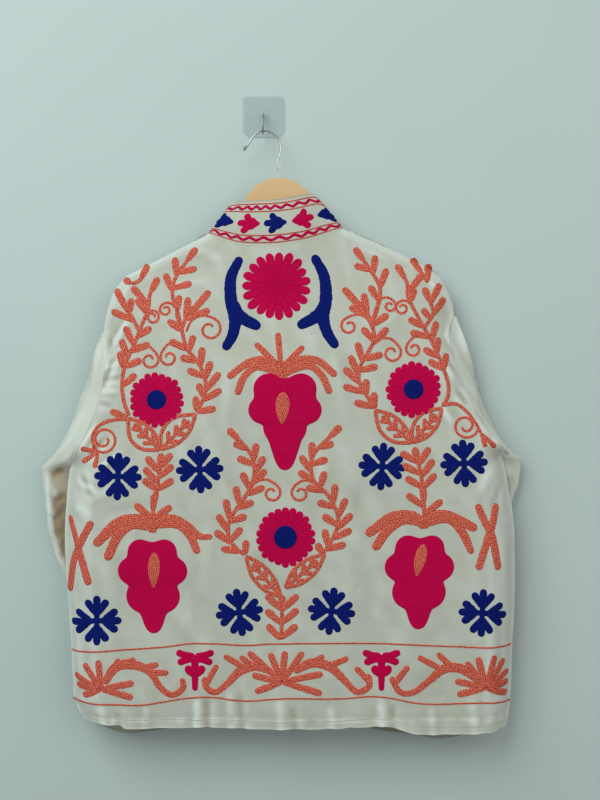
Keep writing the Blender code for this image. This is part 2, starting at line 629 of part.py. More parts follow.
# the hanger
board = make_object(
    "hanger_board", *slab(board_outline(), RIDGE_Y - BOARD_THICK / 2, RIDGE_Y + BOARD_THICK / 2, 0.0012), "ply"
)
wire_line = curve([(x, z) for x, z in WIRE_MM], count=34)
neck_x = HEAD_MM[0] * MM
wire_line = np.vstack([wire_line, [[neck_x, -0.0885], [neck_x, -0.097], [neck_x, -0.106]]])
wire_path = np.stack([wire_line[:, 0], np.full(len(wire_line), RIDGE_Y), wire_line[:, 1]], axis=1)
wire_radii = np.full(len(wire_path), WIRE_RADIUS)
wire_radii[0] = 0.0016
wire_radii[1] = WIRE_END_RADIUS
wire_radii[2] = 0.0016
bore_path = [(neck_x, RIDGE_Y, -0.085), (neck_x, RIDGE_Y, -0.1064)]
cut(board, *tube(bore_path, WIRE_RADIUS + 0.00005, 16), "hook_bore")
make_object("hanger_hook", *tube(wire_path, wire_radii, 12), "chrome")

# the wall plate with its hook
half = PLATE_SIDE / 2
c = PLATE_CHAMFER
plate_outline = [
    (-half, half - 0.003), (-half + 0.003, half), (half - 0.003, half), (half, half - 0.003),
    (half, -half + c), (half - c, -half), (-half + c, -half), (-half, -half + c),
]
plate = make_object("wall_plate", *slab(plate_outline, -PLATE_THICK, 0.0, 0.0003), "clear_plastic", smooth=False)
boss_path = [(0.0, -0.001, BOSS_Z), (0.0, -0.0045, BOSS_Z), (0.0, -0.0056, BOSS_Z), (0.0, -0.006, BOSS_Z)]
cut(plate, *tube(boss_path, [BOSS_RADIUS, BOSS_RADIUS, 0.0062, 0.0044], 24), "boss_tool", "UNION")
pin_line = curve(PIN_YZ_MM, count=26)
pin_path = np.stack([np.zeros(len(pin_line)), pin_line[:, 0], pin_line[:, 1]], axis=1)
pin_radii = np.full(len(pin_path), PIN_RADIUS)
pin_radii[-1] = 0.0009
make_object("wall_hook", *tube(pin_path, pin_radii, 12), "chrome")
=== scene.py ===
"""The looks of an embroidered jacket that hangs with its back to the viewer, on its wooden hanger."""
import math

import bpy
import numpy as np
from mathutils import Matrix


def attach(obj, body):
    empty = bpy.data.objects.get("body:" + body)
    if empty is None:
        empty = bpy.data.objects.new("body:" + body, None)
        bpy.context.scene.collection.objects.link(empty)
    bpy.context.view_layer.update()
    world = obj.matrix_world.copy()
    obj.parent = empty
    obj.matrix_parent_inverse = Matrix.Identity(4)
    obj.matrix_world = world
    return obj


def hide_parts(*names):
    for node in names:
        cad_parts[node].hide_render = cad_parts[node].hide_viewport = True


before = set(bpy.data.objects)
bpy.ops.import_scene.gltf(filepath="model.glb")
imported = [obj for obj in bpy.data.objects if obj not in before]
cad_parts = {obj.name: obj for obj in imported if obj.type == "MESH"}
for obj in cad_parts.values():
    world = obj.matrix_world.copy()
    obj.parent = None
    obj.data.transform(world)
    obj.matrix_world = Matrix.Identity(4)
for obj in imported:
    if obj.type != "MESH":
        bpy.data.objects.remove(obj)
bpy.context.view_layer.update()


# The jacket's back is one panel of firm cotton canvas. It hangs over the hanger's board, is sewn to
# the fronts at the shoulders and sides and to the sleeves at the armholes, and has a turned hem.
MM = 0.001
BACK_THICK = 0.0011
RIDGE_Y, SIDE_Y = -0.027, -0.040
RIDGE_HALF = 0.0082
BACK_DEPTH = 0.035
BACK_EDGE = 0.042
BACK_FILL = 0.250
HEM_FOLD_Z, HEM_STITCH_Z = -0.829, -0.834
MIDDLE_X = 0.020
LEFT_SIDE_MM = (
    (-247, -839), (-260, -813), (-264, -745), (-267, -697), (-271, -640), (-273, -590), (-271, -545), (-265, -492),
)
LEFT_ARMHOLE_MM = ((-265, -492), (-252, -470), (-235, -437), (-222, -400), (-216, -358), (-214, -328), (-220, -306))
LEFT_DROP_MM = ((-220, -306), (-215, -273), (-205, -246), (-190, -228))
LEFT_SHOULDER_MM = ((-190, -228), (-160, -213), (-103, -184), (-76, -170))
RIGHT_SIDE_MM = (
    (336, -851), (342, -814), (345, -737), (348, -677), (348, -601), (346, -564), (341, -530), (331, -480),
)
RIGHT_ARMHOLE_MM = ((331, -480), (320, -456), (300, -427), (281, -394), (267, -358), (258, -318), (265, -284))
RIGHT_DROP_MM = ((265, -284), (261, -257), (248, -232))
RIGHT_SHOULDER_MM = ((248, -232), (229, -217), (192, -198), (112, -163))
LEFT_ELBOW_MM = ((-309, -493), (-286, -453), (-268, -429), (-246, -388), (-234, -345))
RIGHT_ELBOW_MM = ((361, -482), (327, -432), (289, -374), (275, -330))
BACK_NECK_MM = ((-76, -170), (-53, -180), (-26, -187), (18, -188), (57, -182), (85, -173), (112, -163))
HEM_MM = (
    (-247, -839), (-194, -840), (-179, -844), (-103, -843), (26, -846), (96, -845), (164, -842), (205, -852),
    (249, -854), (336, -851),
)
# soft folds along lines: (x, z) of start and end, width, and height or, below 0, depth, in millimetres
BACK_FOLDS_MM = (
    (-84, -700, -86, -850, 16, 2.4), (-44, -735, -46, -850, 14, -1.8), (28, -690, 26, -850, 18, 2.2),
    (165, -715, 168, -850, 20, 2), (225, -735, 228, -855, 17, -1.8), (-205, -560, -216, -790, 15, 1.6),
    (285, -560, 292, -790, 18, 1.8), (-182, -290, -222, -400, 11, 2.2), (228, -300, 258, -410, 12, 2),
    (-60, -480, -20, -560, 9, -1.4), (90, -470, 60, -560, 9, 1.2), (-140, -250, -60, -232, 8, 1),
    (-100, -640, -96, -730, 11, 1.2), (150, -620, 140, -720, 11, -1.2), (-180, -284, -212, -336, 5.2, 4.2),
    (-209, -328, -239, -401, 6, 4), (-215, -303, -208, -333, 4, -3.2), (-199, -333, -223, -396, 4.5, -3.2),
    (-223, -360, -188, -349, 4, 1.9), (-224, -375, -182, -368, 4, -2), (-226, -389, -190, -389, 4, 1.8),
    (-228, -404, -199, -409, 4, -1.6), (-253, -483, -222, -428, 4, 3), (-242, -488, -207, -445, 4, -3),
    (-231, -499, -182, -469, 4.5, 2.5), (-258, -507, -215, -529, 4.5, 2.8), (-250, -493, -226, -537, 4, -2.5),
    (-242, -540, -174, -510, 8, 2), (-231, -559, -144, -537, 9, -1.8), (-261, -537, -226, -564, 7, 1.8),
    (-258, -673, -250, -809, 8, 1.8), (-242, -668, -234, -795, 9, -1.6), (-166, -537, -182, -619, 9, 1.2),
    (-71, -537, -79, -673, 12, 1.5), (-87, -795, -88, -847, 6, 2.6), (-75, -795, -73, -847, 5, -2.2),
    (-46, -782, -42, -847, 7, 2.6), (-31, -787, -27, -847, 5, -2), (24, -795, 27, -847, 8, 2.4),
    (41, -809, 45, -847, 5, -1.8), (92, -809, 95, -847, 7, 2), (160, -795, 162, -847, 7, 2.6),
    (175, -804, 178, -847, 6, -2.2), (228, -809, 231, -850, 7, 2), (283, -795, 288, -850, 9, 2),
    (-155, -809, -158, -847, 7, 1.8), (-220, -809, -215, -847, 8, 2), (-196, -817, -194, -847, 5, -1.6),
    (262, -284, 253, -319, 4, 2.8), (258, -289, 283, -355, 4, -3.2), (248, -303, 272, -341, 4.5, 3),
    (242, -336, 267, -366, 4.5, -2.5), (250, -341, 264, -382, 4.5, 2.5), (261, -382, 283, -412, 4.5, -2.5),
    (277, -415, 310, -453, 4, 2.8), (288, -406, 318, -445, 4, -2.5), (237, -401, 264, -442, 6, 2),
    (324, -480, 283, -537, 8, 2), (332, -496, 305, -564, 7, -1.8), (324, -564, 329, -673, 8, 1.6),
    (316, -673, 326, -795, 8, -1.6), (113, -619, 120, -727, 11, 1.4), (133, -496, 122, -591, 10, -1.3),
    (-44, -347, -54, -455, 10, 1.3), (106, -306, 122, -428, 11, -1.3), (0, -306, -8, -428, 9, 1),
    (79, -428, 84, -564, 10, 1.1), (-112, -183, -44, -213, 8, 1.3), (113, -181, 188, -213, 8, 1.4),
    (215, -213, 253, -265, 7, 1.6), (-177, -221, -204, -281, 7, 1.6),
)


# the armholes' top and the ends of the neck; what counts as a valley for the painted crease shade; the width of the
# painted highlight along the turned sides and ridges, in metres
SEAM_FROM, NECK_FROM, NECK_TO = -0.305, -0.077, 0.113
SEAM_SLIP = 0.0002
VALLEY_REACH, VALLEY_DEPTH = 0.007, 0.0017
RIM_LIGHT = 0.012


def smoothstep(value):
    """0 below 0, 1 above 1, and an S between."""
    t = np.clip(value, 0.0, 1.0)
    return t * t * (3.0 - 2.0 * t)


def lengths(line):
    """The way along a line to each of its points."""
    return np.concatenate([[0.0], np.cumsum(np.linalg.norm(np.diff(line, axis=0), axis=1))])


def curve(table, count=None, shares=None):
    """Points on a Catmull-Rom line through a table in millimetres, at equal or given shares of its length."""
    points = np.array(table, dtype=float) * MM
    ends = np.vstack([2 * points[0] - points[1], points, 2 * points[-1] - points[-2]])
    t = np.linspace(0.0, 1.0, 17)[:-1, None]
    fine = []
    for k in range(len(points) - 1):
        a, b, c, d = ends[k : k + 4]
        fine.append(
            0.5 * (2 * b + (c - a) * t + (2 * a - 5 * b + 4 * c - d) * t**2 + (3 * b - 3 * c + d - a) * t**3)
        )
    fine = np.vstack(fine + [points[-1:]])
    along = lengths(fine)
    at = (np.linspace(0.0, 1.0, count) if shares is None else np.asarray(shares)) * along[-1]
    return np.stack([np.interp(at, along, fine[:, k]) for k in range(fine.shape[1])], axis=1)


def distance(x, z, line):
    """The distance in the XZ plane from each point to a polyline: the least over its straight parts."""
    best = np.full(np.shape(x), 1e9)
    for a, b in zip(line[:-1], line[1:]):
        span = b - a
        t = np.clip(((x - a[0]) * span[0] + (z - a[1]) * span[1]) / (span @ span), 0.0, 1.0)
        best = np.minimum(best, np.hypot(x - a[0] - t * span[0], z - a[1] - t * span[1]))
    return best


EDGE_LINES = [
    np.array(t, dtype=float) * MM
    for t in (LEFT_SIDE_MM + LEFT_ELBOW_MM + LEFT_DROP_MM[:1], RIGHT_SIDE_MM + RIGHT_ELBOW_MM + RIGHT_DROP_MM[:1])
]
RIDGE_LINES = [
    np.array(t, dtype=float) * MM
    for t in (LEFT_DROP_MM + LEFT_SHOULDER_MM[1:], RIGHT_DROP_MM + RIGHT_SHOULDER_MM[1:])
]


def seam_y(z):
    """The plane where back and front meet, an S from the hanger's plane to the sides' plane."""
    return RIDGE_Y + (SIDE_Y - RIDGE_Y) * smoothstep((-0.205 - z) / 0.200)


def rounding(d, radius):
    """The height of a quarter circle at a distance from its edge, as a share of its radius."""
    return np.sqrt(np.clip(1.0 - (1.0 - np.clip(d / radius, 0.0, 1.0)) ** 2, 0.0, 1.0))


def easing(d, radius):
    """The height of a parabola that levels off at the given distance from its edge, as a share."""
    return 1.0 - (1.0 - np.clip(d / radius, 0.0, 1.0)) ** 2


def near_edge(x, z):
    """The distance to the outline that the cloth turns over at the sides."""
    return np.minimum(distance(x, z, EDGE_LINES[0]), distance(x, z, EDGE_LINES[1]))


def near_ridge(x, z):
    """The distance to the nearer shoulder ridge, with the change from one to the other rounded off."""
    left, right = (np.maximum(distance(x, z, line), 1e-7) for line in RIDGE_LINES)
    return (left**-4 + right**-4) ** -0.25


def folds(x, z, table):
    """Soft folds: a bell across each line, which fades in and out along it."""
    total = np.zeros_like(x)
    for x0, z0, x1, z1, width, height in table:
        span_x, span_z = (x1 - x0) * MM, (z1 - z0) * MM
        long = math.hypot(span_x, span_z)
        away_x, away_z = x - x0 * MM, z - z0 * MM
        along = (away_x * span_x + away_z * span_z) / long**2
        across = (away_x * span_z - away_z * span_x) / long
        fade = smoothstep(along / 0.45) * (1.0 if z1 <= -844 else smoothstep((1.0 - along) / 0.45))
        total += height * MM * fade * np.exp(-((across / (width * MM)) ** 2))
    return total


def unevenness(x, z, cell, seed):
    """Smooth noise from -1 to 1: random values on a square lattice, blended with S curves between."""
    values = np.random.default_rng(seed).uniform(-1.0, 1.0, (64, 64))
    gx, gz = (x + 1.0) / cell, (z + 2.0) / cell
    ix, iz = np.floor(gx).astype(int), np.floor(gz).astype(int)
    fx, fz = smoothstep(gx - ix), smoothstep(gz - iz)
    low = values[ix % 64, iz % 64] * (1 - fx) + values[(ix + 1) % 64, iz % 64] * fx
    high = values[ix % 64, (iz + 1) % 64] * (1 - fx) + values[(ix + 1) % 64, (iz + 1) % 64] * fx
    return low * (1 - fz) + high * fz


def back_y(x, z):
    """The back's outer face: a ridge over the hanger, fuller below it, turned in at the sides, with its creases."""
    edge, ridge = near_edge(x, z), near_ridge(x, z)
    side = easing(edge, BACK_EDGE)
    fill = RIDGE_HALF + (BACK_DEPTH - RIDGE_HALF) * easing(ridge, BACK_FILL)
    depth = fill * np.minimum(rounding(ridge, RIDGE_HALF), side)
    calm = side * smoothstep(ridge / 0.030)
    uneven = 0.0022 * unevenness(x, z, 0.060, 3) + 0.0012 * unevenness(x + 0.3 * z, z * 0.6, 0.022, 4)
    pucker = np.exp(-(((z - HEM_STITCH_Z) / 0.006) ** 2)) * 0.0009 * unevenness(x, z * 0.0 - 0.8, 0.011, 5)
    hem = side * (pucker + 0.0012 * smoothstep((HEM_FOLD_Z - z) / 0.003))
    relief = side * smoothstep(ridge / 0.015) * folds(x, z, BACK_FOLDS_MM)
    return seam_y(z) - depth - relief - calm * uneven - hem


def lift(surface, flat):
    """Places in the XZ plane moved onto a surface."""
    x, z = flat[..., 0], flat[..., 1]
    return np.stack([x, surface(x, z), z], axis=-1)


def unit(v):
    """Vectors scaled to length one."""
    return v / np.maximum(np.linalg.norm(v, axis=-1, keepdims=True), 1e-12)


def patch(bottom, top, left, right, u, v):
    """A four-sided patch between its boundary lines, by transfinite interpolation."""
    u, v = u[None, :, None], v[:, None, None]
    ruled = (1 - v) * bottom[None] + v * top[None] + (1 - u) * left[:, None] + u * right[:, None]
    corners = (1 - u) * (1 - v) * bottom[0] + u * (1 - v) * bottom[-1] + (1 - u) * v * top[0] + u * v * top[-1]
    return ruled - corners


def grid_normals(points, wrap=False):
    """A grid's vertex normals, from its central differences along both ways."""
    across = np.roll(points, -1, axis=1) - np.roll(points, 1, axis=1) if wrap else np.gradient(points, axis=1)
    return unit(np.cross(across, np.gradient(points, axis=0)))


def grid_faces(rows, cols, wrap=False, start=0):
    """The four-sided faces of a grid of vertices."""
    number = np.arange(rows * cols).reshape(rows, cols) + start
    if wrap:
        number = np.column_stack([number, number[:, 0]])
    return np.stack([number[:-1, :-1], number[:-1, 1:], number[1:, 1:], number[1:, :-1]], axis=-1).reshape(-1, 4)


def add_mesh(name, vertices, faces, material, uv=None, painted_shading=None):
    """A smooth mesh object of four-sided faces; a UV and an amount of painted shade, or below 0 of painted highlight,
    may be given for each vertex.
    """
    mesh = bpy.data.meshes.new(name)
    vertices, faces = np.asarray(vertices, dtype=np.float32), np.asarray(faces, dtype=np.int32)
    mesh.vertices.add(len(vertices))
    mesh.vertices.foreach_set("co", vertices.ravel())
    mesh.loops.add(faces.size)
    mesh.loops.foreach_set("vertex_index", faces.ravel())
    mesh.polygons.add(len(faces))
    mesh.polygons.foreach_set("loop_start", np.arange(0, faces.size, 4, dtype=np.int32))
    mesh.polygons.foreach_set("use_smooth", np.ones(len(faces), dtype=bool))
    if uv is not None:
        layer = mesh.uv_layers.new(name="UVMap")
        layer.data.foreach_set("uv", np.asarray(uv, dtype=np.float32)[faces.ravel()].ravel())
    if painted_shading is not None:
        layer = mesh.attributes.new("painted_shading", "FLOAT", "POINT")
        layer.data.foreach_set("value", np.asarray(painted_shading, dtype=np.float32).ravel())
    mesh.materials.append(material)
    mesh.update(calc_edges=True)
    mesh.validate()
    made = bpy.data.objects.new(name, mesh)
    bpy.context.scene.collection.objects.link(made)
    return made


def close_seam(points, normals, columns, way):
    """Edges above the armholes and outside the neck are laid on the seam, and their thickness goes inward."""
    edge = np.zeros(points.shape[:2], dtype=bool)
    edge[-1] = True
    edge[:, columns] = True
    x, z = points[..., 0], points[..., 2]
    edge &= (z > SEAM_FROM) & ((x < NECK_FROM) | (x > NECK_TO))
    points[..., 1] = np.where(edge, seam_y(z) + way * SEAM_SLIP, points[..., 1])
    lines = [(np.s_[-1, :], np.s_[-2, :])] + [(np.s_[:, c], np.s_[:, 1 if c == 0 else -2]) for c in columns]
    for line, beside in lines:
        outward = points[line] - points[beside]
        outward[:, 1] = 0.0
        normals[line] = np.where(edge[line][:, None], unit(outward), normals[line])


def valley(surface, flat):
    """How far a surface lies behind its surroundings: its depth less the mean of eight places round it."""
    x, z = flat[..., 0], flat[..., 1]
    around = 0.0
    for turn in np.arange(8) * math.pi / 4:
        near_x, near_z = x + VALLEY_REACH * math.cos(turn), z + VALLEY_REACH * math.sin(turn)
        around = around + surface(near_x, near_z) / 8.0
    return np.clip((surface(x, z) - around) / VALLEY_DEPTH, -0.6, 1.0)


def inside_rim(flat):
    """The distance to the nearer of the turned side and the shoulder's ridge."""
    return np.minimum(near_edge(flat[..., 0], flat[..., 1]), near_ridge(flat[..., 0], flat[..., 1]))


def add_cloth(name, points, normals, thick, material, nodes, wrap=False, painted_shading=None):
    """Cloth as a closed thin wall: a grid, the same grid moved inward, and the rims between them."""
    rows, cols = points.shape[:2]
    outer = grid_faces(rows, cols, wrap)
    inner = grid_faces(rows, cols, wrap, rows * cols)[:, ::-1]
    number = np.arange(rows * cols).reshape(rows, cols)
    lines = [number[0][::-1], number[-1]]
    lines = [np.append(line, line[0]) for line in lines] if wrap else lines + [number[:, 0], number[:, -1][::-1]]
    rims = [np.stack([a[1:], a[:-1], a[:-1] + rows * cols, a[1:] + rows * cols], axis=-1) for a in lines]
    vertices = np.vstack([points.reshape(-1, 3), (points - thick * normals).reshape(-1, 3)])
    faces = np.vstack([outer, inner] + rims)
    facing = np.cross(points[1, 1] - points[0, 0], points[1, 0] - points[0, 1]) @ normals[0, 0]
    if facing < 0:
        faces = faces[:, ::-1]
    # painted shade and painted highlight go on the outer face only
    both = None if painted_shading is None else np.concatenate([painted_shading.ravel(), np.zeros(painted_shading.size)])
    made = add_mesh(name, vertices, faces, material, painted_shading=both)
    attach(made, "root")
    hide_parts(nodes)
    return made


def feed(tree, node, inputs):
    """Gives a node's inputs, by name or number, each a value or another node's output."""
    for key, value in inputs.items():
        if isinstance(value, bpy.types.NodeSocket):
            tree.links.new(value, node.inputs[key])
        else:
            node.inputs[key].default_value = value


def add_node(tree, kind, inputs=None, **settings):
    """One shader node with its settings and inputs; gives its outputs."""
    made = tree.nodes.new("ShaderNode" + kind)
    for key, value in settings.items():
        setattr(made, key, value)
    feed(tree, made, inputs or {})
    return made.outputs


def math_node(tree, operation, *values, clamp=False):
    """The result of one maths node."""
    return add_node(tree, "Math", dict(enumerate(values)), operation=operation, use_clamp=clamp)[0]


def noise(tree, vector, scale, detail=2.0, distortion=0.0):
    """A noise texture's value."""
    inputs = {"Vector": vector, "Scale": scale, "Detail": detail, "Distortion": distortion}
    return add_node(tree, "TexNoise", inputs)["Fac"]


def mix(tree, share, first, second):
    """A blend of two colours, each three numbers or another node's output."""
    a, b = (c if isinstance(c, bpy.types.NodeSocket) else (*c, 1.0) for c in (first, second))
    return add_node(tree, "Mix", {"Factor": share, "A": a, "B": b}, data_type="RGBA")["Result"]


def bump(tree, height, strength, distance, normal=None):
    """The normal of a surface with a small relief, on top of another normal where one is given."""
    inputs = {"Height": height, "Strength": strength, "Distance": distance}
    return add_node(tree, "Bump", inputs | ({} if normal is None else {"Normal": normal}))["Normal"]


def spread(tree, value, **limits):
    """A value moved from one span to another; a limit that isn't named is 0 or 1."""
    inputs = {key.replace("_", " ").title(): number for key, number in limits.items()}
    return add_node(tree, "MapRange", inputs | {"Value": value})["Result"]


def new_group(name, inputs, outputs):
    """A node group with named sockets: its tree, what it is given, and the node that takes what it puts out."""
    group = bpy.data.node_groups.new(name, "ShaderNodeTree")
    for socket in inputs:
        kind = "NodeSocketVector" if socket == "Vector" else "NodeSocketFloat"
        group.interface.new_socket(socket, in_out="INPUT", socket_type=kind)
    for socket in outputs:
        group.interface.new_socket(socket, in_out="OUTPUT", socket_type="NodeSocketFloat")
    return group, group.nodes.new("NodeGroupInput").outputs, group.nodes.new("NodeGroupOutput")


def new_material(name):
    """A material: itself, its tree, its Principled node, and the place on the object in its own axes."""
    made = bpy.data.materials.new(name)
    made.use_nodes = True
    tree = made.node_tree
    return made, tree, tree.nodes["Principled BSDF"], add_node(tree, "TexCoord")["Object"]


def weave_group():
    """Plain weave: waves of threads across each other, with slubs; a broad shade; thin meandering wrinkles."""
    group, given, leave = new_group(
        "plain weave", ("Vector", "Threads per metre"), ("Height", "Shade", "Wrinkle")
    )
    parts = add_node(group, "SeparateXYZ", {0: given["Vector"]})
    turns = [math_node(group, "MULTIPLY", parts[axis], given["Threads per metre"]) for axis in "XZ"]
    cross = math_node(group, "MULTIPLY", *(math_node(group, "SINE", turn) for turn in turns))
    slub = noise(group, given["Vector"], 260.0, 3.0)
    broad = noise(group, given["Vector"], 22.0, 4.0)
    line = noise(group, given["Vector"], 17.0, 1.5, 0.5)
    crease = math_node(group, "ABSOLUTE", math_node(group, "SUBTRACT", line, 0.5))
    height = math_node(group, "MULTIPLY_ADD", cross, 0.35, slub)
    wrinkle = math_node(group, "MULTIPLY_ADD", crease, 5.0, broad)
    feed(group, leave, {"Height": height, "Shade": broad, "Wrinkle": wrinkle})
    return group


def canvas_material(name, light, dark, crease):
    """Firm matt cotton: a plain weave in its height, a faint broad tone that varies at random, and painted light on the
    folds.

    The mesh's painted shading is above 0 in a crease, which takes the crease's painted shade, and below 0 on a crest,
    which takes the painted highlight.
    """
    made, tree, shader, place = new_material(name)
    weave = add_node(
        tree,
        "Group",
        {"Vector": place, "Threads per metre": 2.0 * math.pi * 900.0},
        node_tree=bpy.data.node_groups.get("plain weave") or weave_group(),
    )
    base = mix(tree, spread(tree, weave["Shade"], from_min=0.35, from_max=0.65), dark, light)
    painted_shading = add_node(tree, "Attribute", attribute_name="painted_shading")["Fac"]
    for sign, shade in ((1.0, crease), (-1.0, CREST_PAINTED_HIGHLIGHT)):
        base = mix(tree, math_node(tree, "MULTIPLY", painted_shading, sign, clamp=True), base, shade)
    rumple = bump(tree, weave["Wrinkle"], 0.55, 0.0016)
    feed(tree, shader, {
        "Base Color": base,
        "Roughness": 0.88,
        "Specular IOR Level": 0.25,
        "Sheen Weight": 0.25,
        "Sheen Roughness": 0.45,
        "Normal": bump(tree, weave["Height"], 0.35, 0.0003, rumple),
    })
    return made


# painted light on the canvas: a painted highlight on the crest of a fold, painted shade in a crease of the body, and
# painted shade in a sleeve's creases and below its elbow's fold
CREST_PAINTED_HIGHLIGHT, CREASE_PAINTED_SHADE, SLEEVE_PAINTED_SHADE = (0.78, 0.85, 0.82), (0.34, 0.325, 0.25), (0.34, 0.26, 0.165)
canvas = canvas_material("cream canvas", (0.522, 0.543, 0.470), (0.494, 0.510, 0.432), CREASE_PAINTED_SHADE)
# the sleeves take a lighter copy of the same canvas: painted light, where the sleeves catch more of the light from the
# left
sleeve_canvas_painted_lighter = canvas_material("cream sleeve canvas painted lighter", (0.63, 0.665, 0.595), (0.59, 0.62, 0.54), SLEEVE_PAINTED_SHADE)

even_u = np.linspace(0.0, 1.0, 191)
back_u = 0.45 * even_u + 0.55 * (0.5 - 0.5 * np.cos(np.pi * even_u))
back_v = 1.0 - (1.0 - np.linspace(0.0, 1.0, 211)) ** 1.35
back_left = curve(LEFT_SIDE_MM + LEFT_ARMHOLE_MM[1:] + LEFT_DROP_MM[1:], shares=back_v)
back_right = curve(RIGHT_SIDE_MM + RIGHT_ARMHOLE_MM[1:] + RIGHT_DROP_MM[1:], shares=back_v)
shoulders = curve(LEFT_SHOULDER_MM + BACK_NECK_MM[1:] + RIGHT_SHOULDER_MM[::-1][1:], shares=back_u)
hem_line = curve(HEM_MM, shares=back_u)
hem_line[:, 1] += 0.0012 * unevenness(hem_line[:, 0], hem_line[:, 1] * 0.0, 0.013, 6)
flat_back = patch(hem_line, shoulders, back_left, back_right, back_u, back_v)
back_points = lift(back_y, flat_back)
back_normals = grid_normals(back_points)
back_normals *= np.where(back_normals[..., 1:2] > 0, -1, 1)
back_inside = inside_rim(flat_back)
close_seam(back_points, back_normals, [0, -1], -1)
# painted shade in the back's valleys, faded out near the turned sides and the shoulder ridges, with a painted highlight
# along them
back_painted_shading = valley(back_y, flat_back) * smoothstep((back_inside - RIM_LIGHT / 3) / RIM_LIGHT)
back_painted_shading -= 0.5 * (1.0 - smoothstep(back_inside / RIM_LIGHT))
back = add_cloth("back_cloth", back_points, back_normals, BACK_THICK, canvas, "back_panel", painted_shading=back_painted_shading)


# The two fronts are plain canvas panels that meet edge to edge down the middle and lie nearest the
# wall. They are sewn to the back at the shoulders and sides.
FRONT_THICK = 0.0011
FRONT_SIDE_DEPTH, FRONT_MID_DEPTH = 0.0042, 0.020
FRONT_EDGE = 0.010
FRONT_NECK_MM = {
    "left": ((-76, -170), (-52, -194), (-20, -211), (19.7, -218)),
    "right": ((112, -163), (90, -190), (58, -210), (20.3, -218)),
}
FRONT_HEM_MM = {
    "left": ((-247, -839), (-222, -851), (-190, -862), (-150, -858), (-80, -850), (19.7, -853)),
    "right": ((336, -851), (296, -860), (246, -869), (196, -862), (110, -853), (20.3, -853)),
}
FRONT_FOLDS_MM = (
    (-60, -420, -66, -860, 16, 1.6), (80, -440, 92, -860, 18, -1.5), (130, -700, 138, -860, 14, 1.4),
    (-130, -730, -136, -860, 14, -1.3), (-20, -330, -28, -560, 11, 1.8), (-96, -380, -70, -520, 9, -1.7),
    (48, -300, 60, -470, 10, 1.6), (112, -360, 104, -600, 12, -1.8), (-44, -600, -36, -860, 9, -1.6),
    (66, -640, 58, -860, 11, 1.9), (112, -560, 126, -700, 8, 1.4), (-104, -560, -112, -720, 9, 1.6),
    (4, -500, -6, -640, 8, -1.2),
)


def front_y(x, z):
    """The fronts' outer face: close behind the side seams over the sleeves, fuller in the middle."""
    edge, ridge = near_edge(x, z), near_ridge(x, z)
    low = smoothstep((ridge - 0.035) / 0.080)
    middle = smoothstep((0.150 - np.abs(x - MIDDLE_X)) / 0.070) * smoothstep((ridge - 0.03) / 0.120)
    depth = RIDGE_HALF * (1.0 - low) + FRONT_SIDE_DEPTH * low + (FRONT_MID_DEPTH - FRONT_SIDE_DEPTH) * middle
    shape = seam_y(z) + depth * np.minimum(rounding(ridge, RIDGE_HALF), easing(edge, FRONT_EDGE))
    return shape + middle * (folds(x, z, FRONT_FOLDS_MM) + 0.0006 * unevenness(x, z, 0.05, 8))


for name, edge_table, shoulder_table in (
    ("left", LEFT_SIDE_MM + LEFT_ARMHOLE_MM[1:] + LEFT_DROP_MM[1:], LEFT_SHOULDER_MM),
    ("right", RIGHT_SIDE_MM + RIGHT_ARMHOLE_MM[1:] + RIGHT_DROP_MM[1:], RIGHT_SHOULDER_MM),
):
    u = np.linspace(0.0, 1.0, 71) ** 1.25
    v = 1.0 - (1.0 - np.linspace(0.0, 1.0, 121)) ** 1.35
    bottom = curve(FRONT_HEM_MM[name], shares=u)
    top = curve(shoulder_table + FRONT_NECK_MM[name][1:], shares=u)
    middle = bottom[-1] + (top[-1] - bottom[-1]) * v[:, None]
    flat = patch(bottom, top, curve(edge_table, shares=v), middle, u, v)
    points = lift(front_y, flat)
    normals = grid_normals(points)
    normals *= np.where(normals[..., 1:2] < 0, -1, 1)
    close_seam(points, normals, [0], 1)
    # painted shade in the fronts' creases and painted highlight on their crests, faded out near the edges
    painted_shading = np.clip(-valley(front_y, flat), -0.6, 0.8)
    painted_shading *= smoothstep((inside_rim(flat) - RIM_LIGHT / 3) / RIM_LIGHT)
    front = add_cloth(name + "_front_cloth", points, normals, FRONT_THICK, canvas, name + "_front", painted_shading=painted_shading)


# The sleeves are canvas tubes with dropped shoulders. Each is sewn into its armhole, hangs to the
# elbow, where it creases, and is folded back behind the body.
SLEEVE_THICK = 0.0011
# by side, left -1 and right 1: the top and the strength of the shade painted on a sleeve below its elbow's fold, and
# how far the outer edge is drawn in
PAINTED_SHADE_TOP_MM, PAINTED_FOLD_SHADE_SHARE, BOW = {-1: -494, 1: -482}, {-1: 0.74, 1: 0.05}, {-1: 0.005, 1: 0.021}
# the painted fold shade keeps this far in from the lit outer edge; a crease of this depth takes full painted shade
PAINTED_SHADE_INSET, CREASE_DEPTH = 0.0075, 0.0034
RING = 128
UPPER_ROWS, LOWER_STEP = 46, 0.0045
BEND_OUT, BEND_BACK = 0.0036, 0.0068
SLEEVE_FULL = 0.004
# (z, outer x, inner x, near y, far y) of level rings from the crease to the cuff, in millimetres
SLEEVE_RINGS_MM = {
    "left": (
        (-495, -309, -176, -33.0, -6.0), (-502, -309, -177, -29.5, -6.0), (-514, -308, -179, -28.5, -5.5),
        (-534, -306, -181, -29.5, -5.0), (-586, -301, -180, -31.5, -5.0), (-620, -288, -172, -32.0, -5.0),
        (-652, -276, -163, -32.0, -5.0), (-690, -260, -150, -31.5, -5.0), (-737, -240, -134, -31.0, -5.0),
    ),
    "right": (
        (-483, 362, 232, -33.0, -6.0), (-490, 361, 231, -29.5, -6.0), (-502, 360, 229, -28.5, -5.5),
        (-520, 357, 226, -29.5, -5.0), (-549, 345, 216, -31.5, -5.0), (-590, 329, 203, -32.0, -5.0),
        (-630, 313, 191, -32.0, -5.0), (-675, 295, 177, -31.5, -5.0), (-720, 277, 163, -31.0, -5.0),
    ),
}
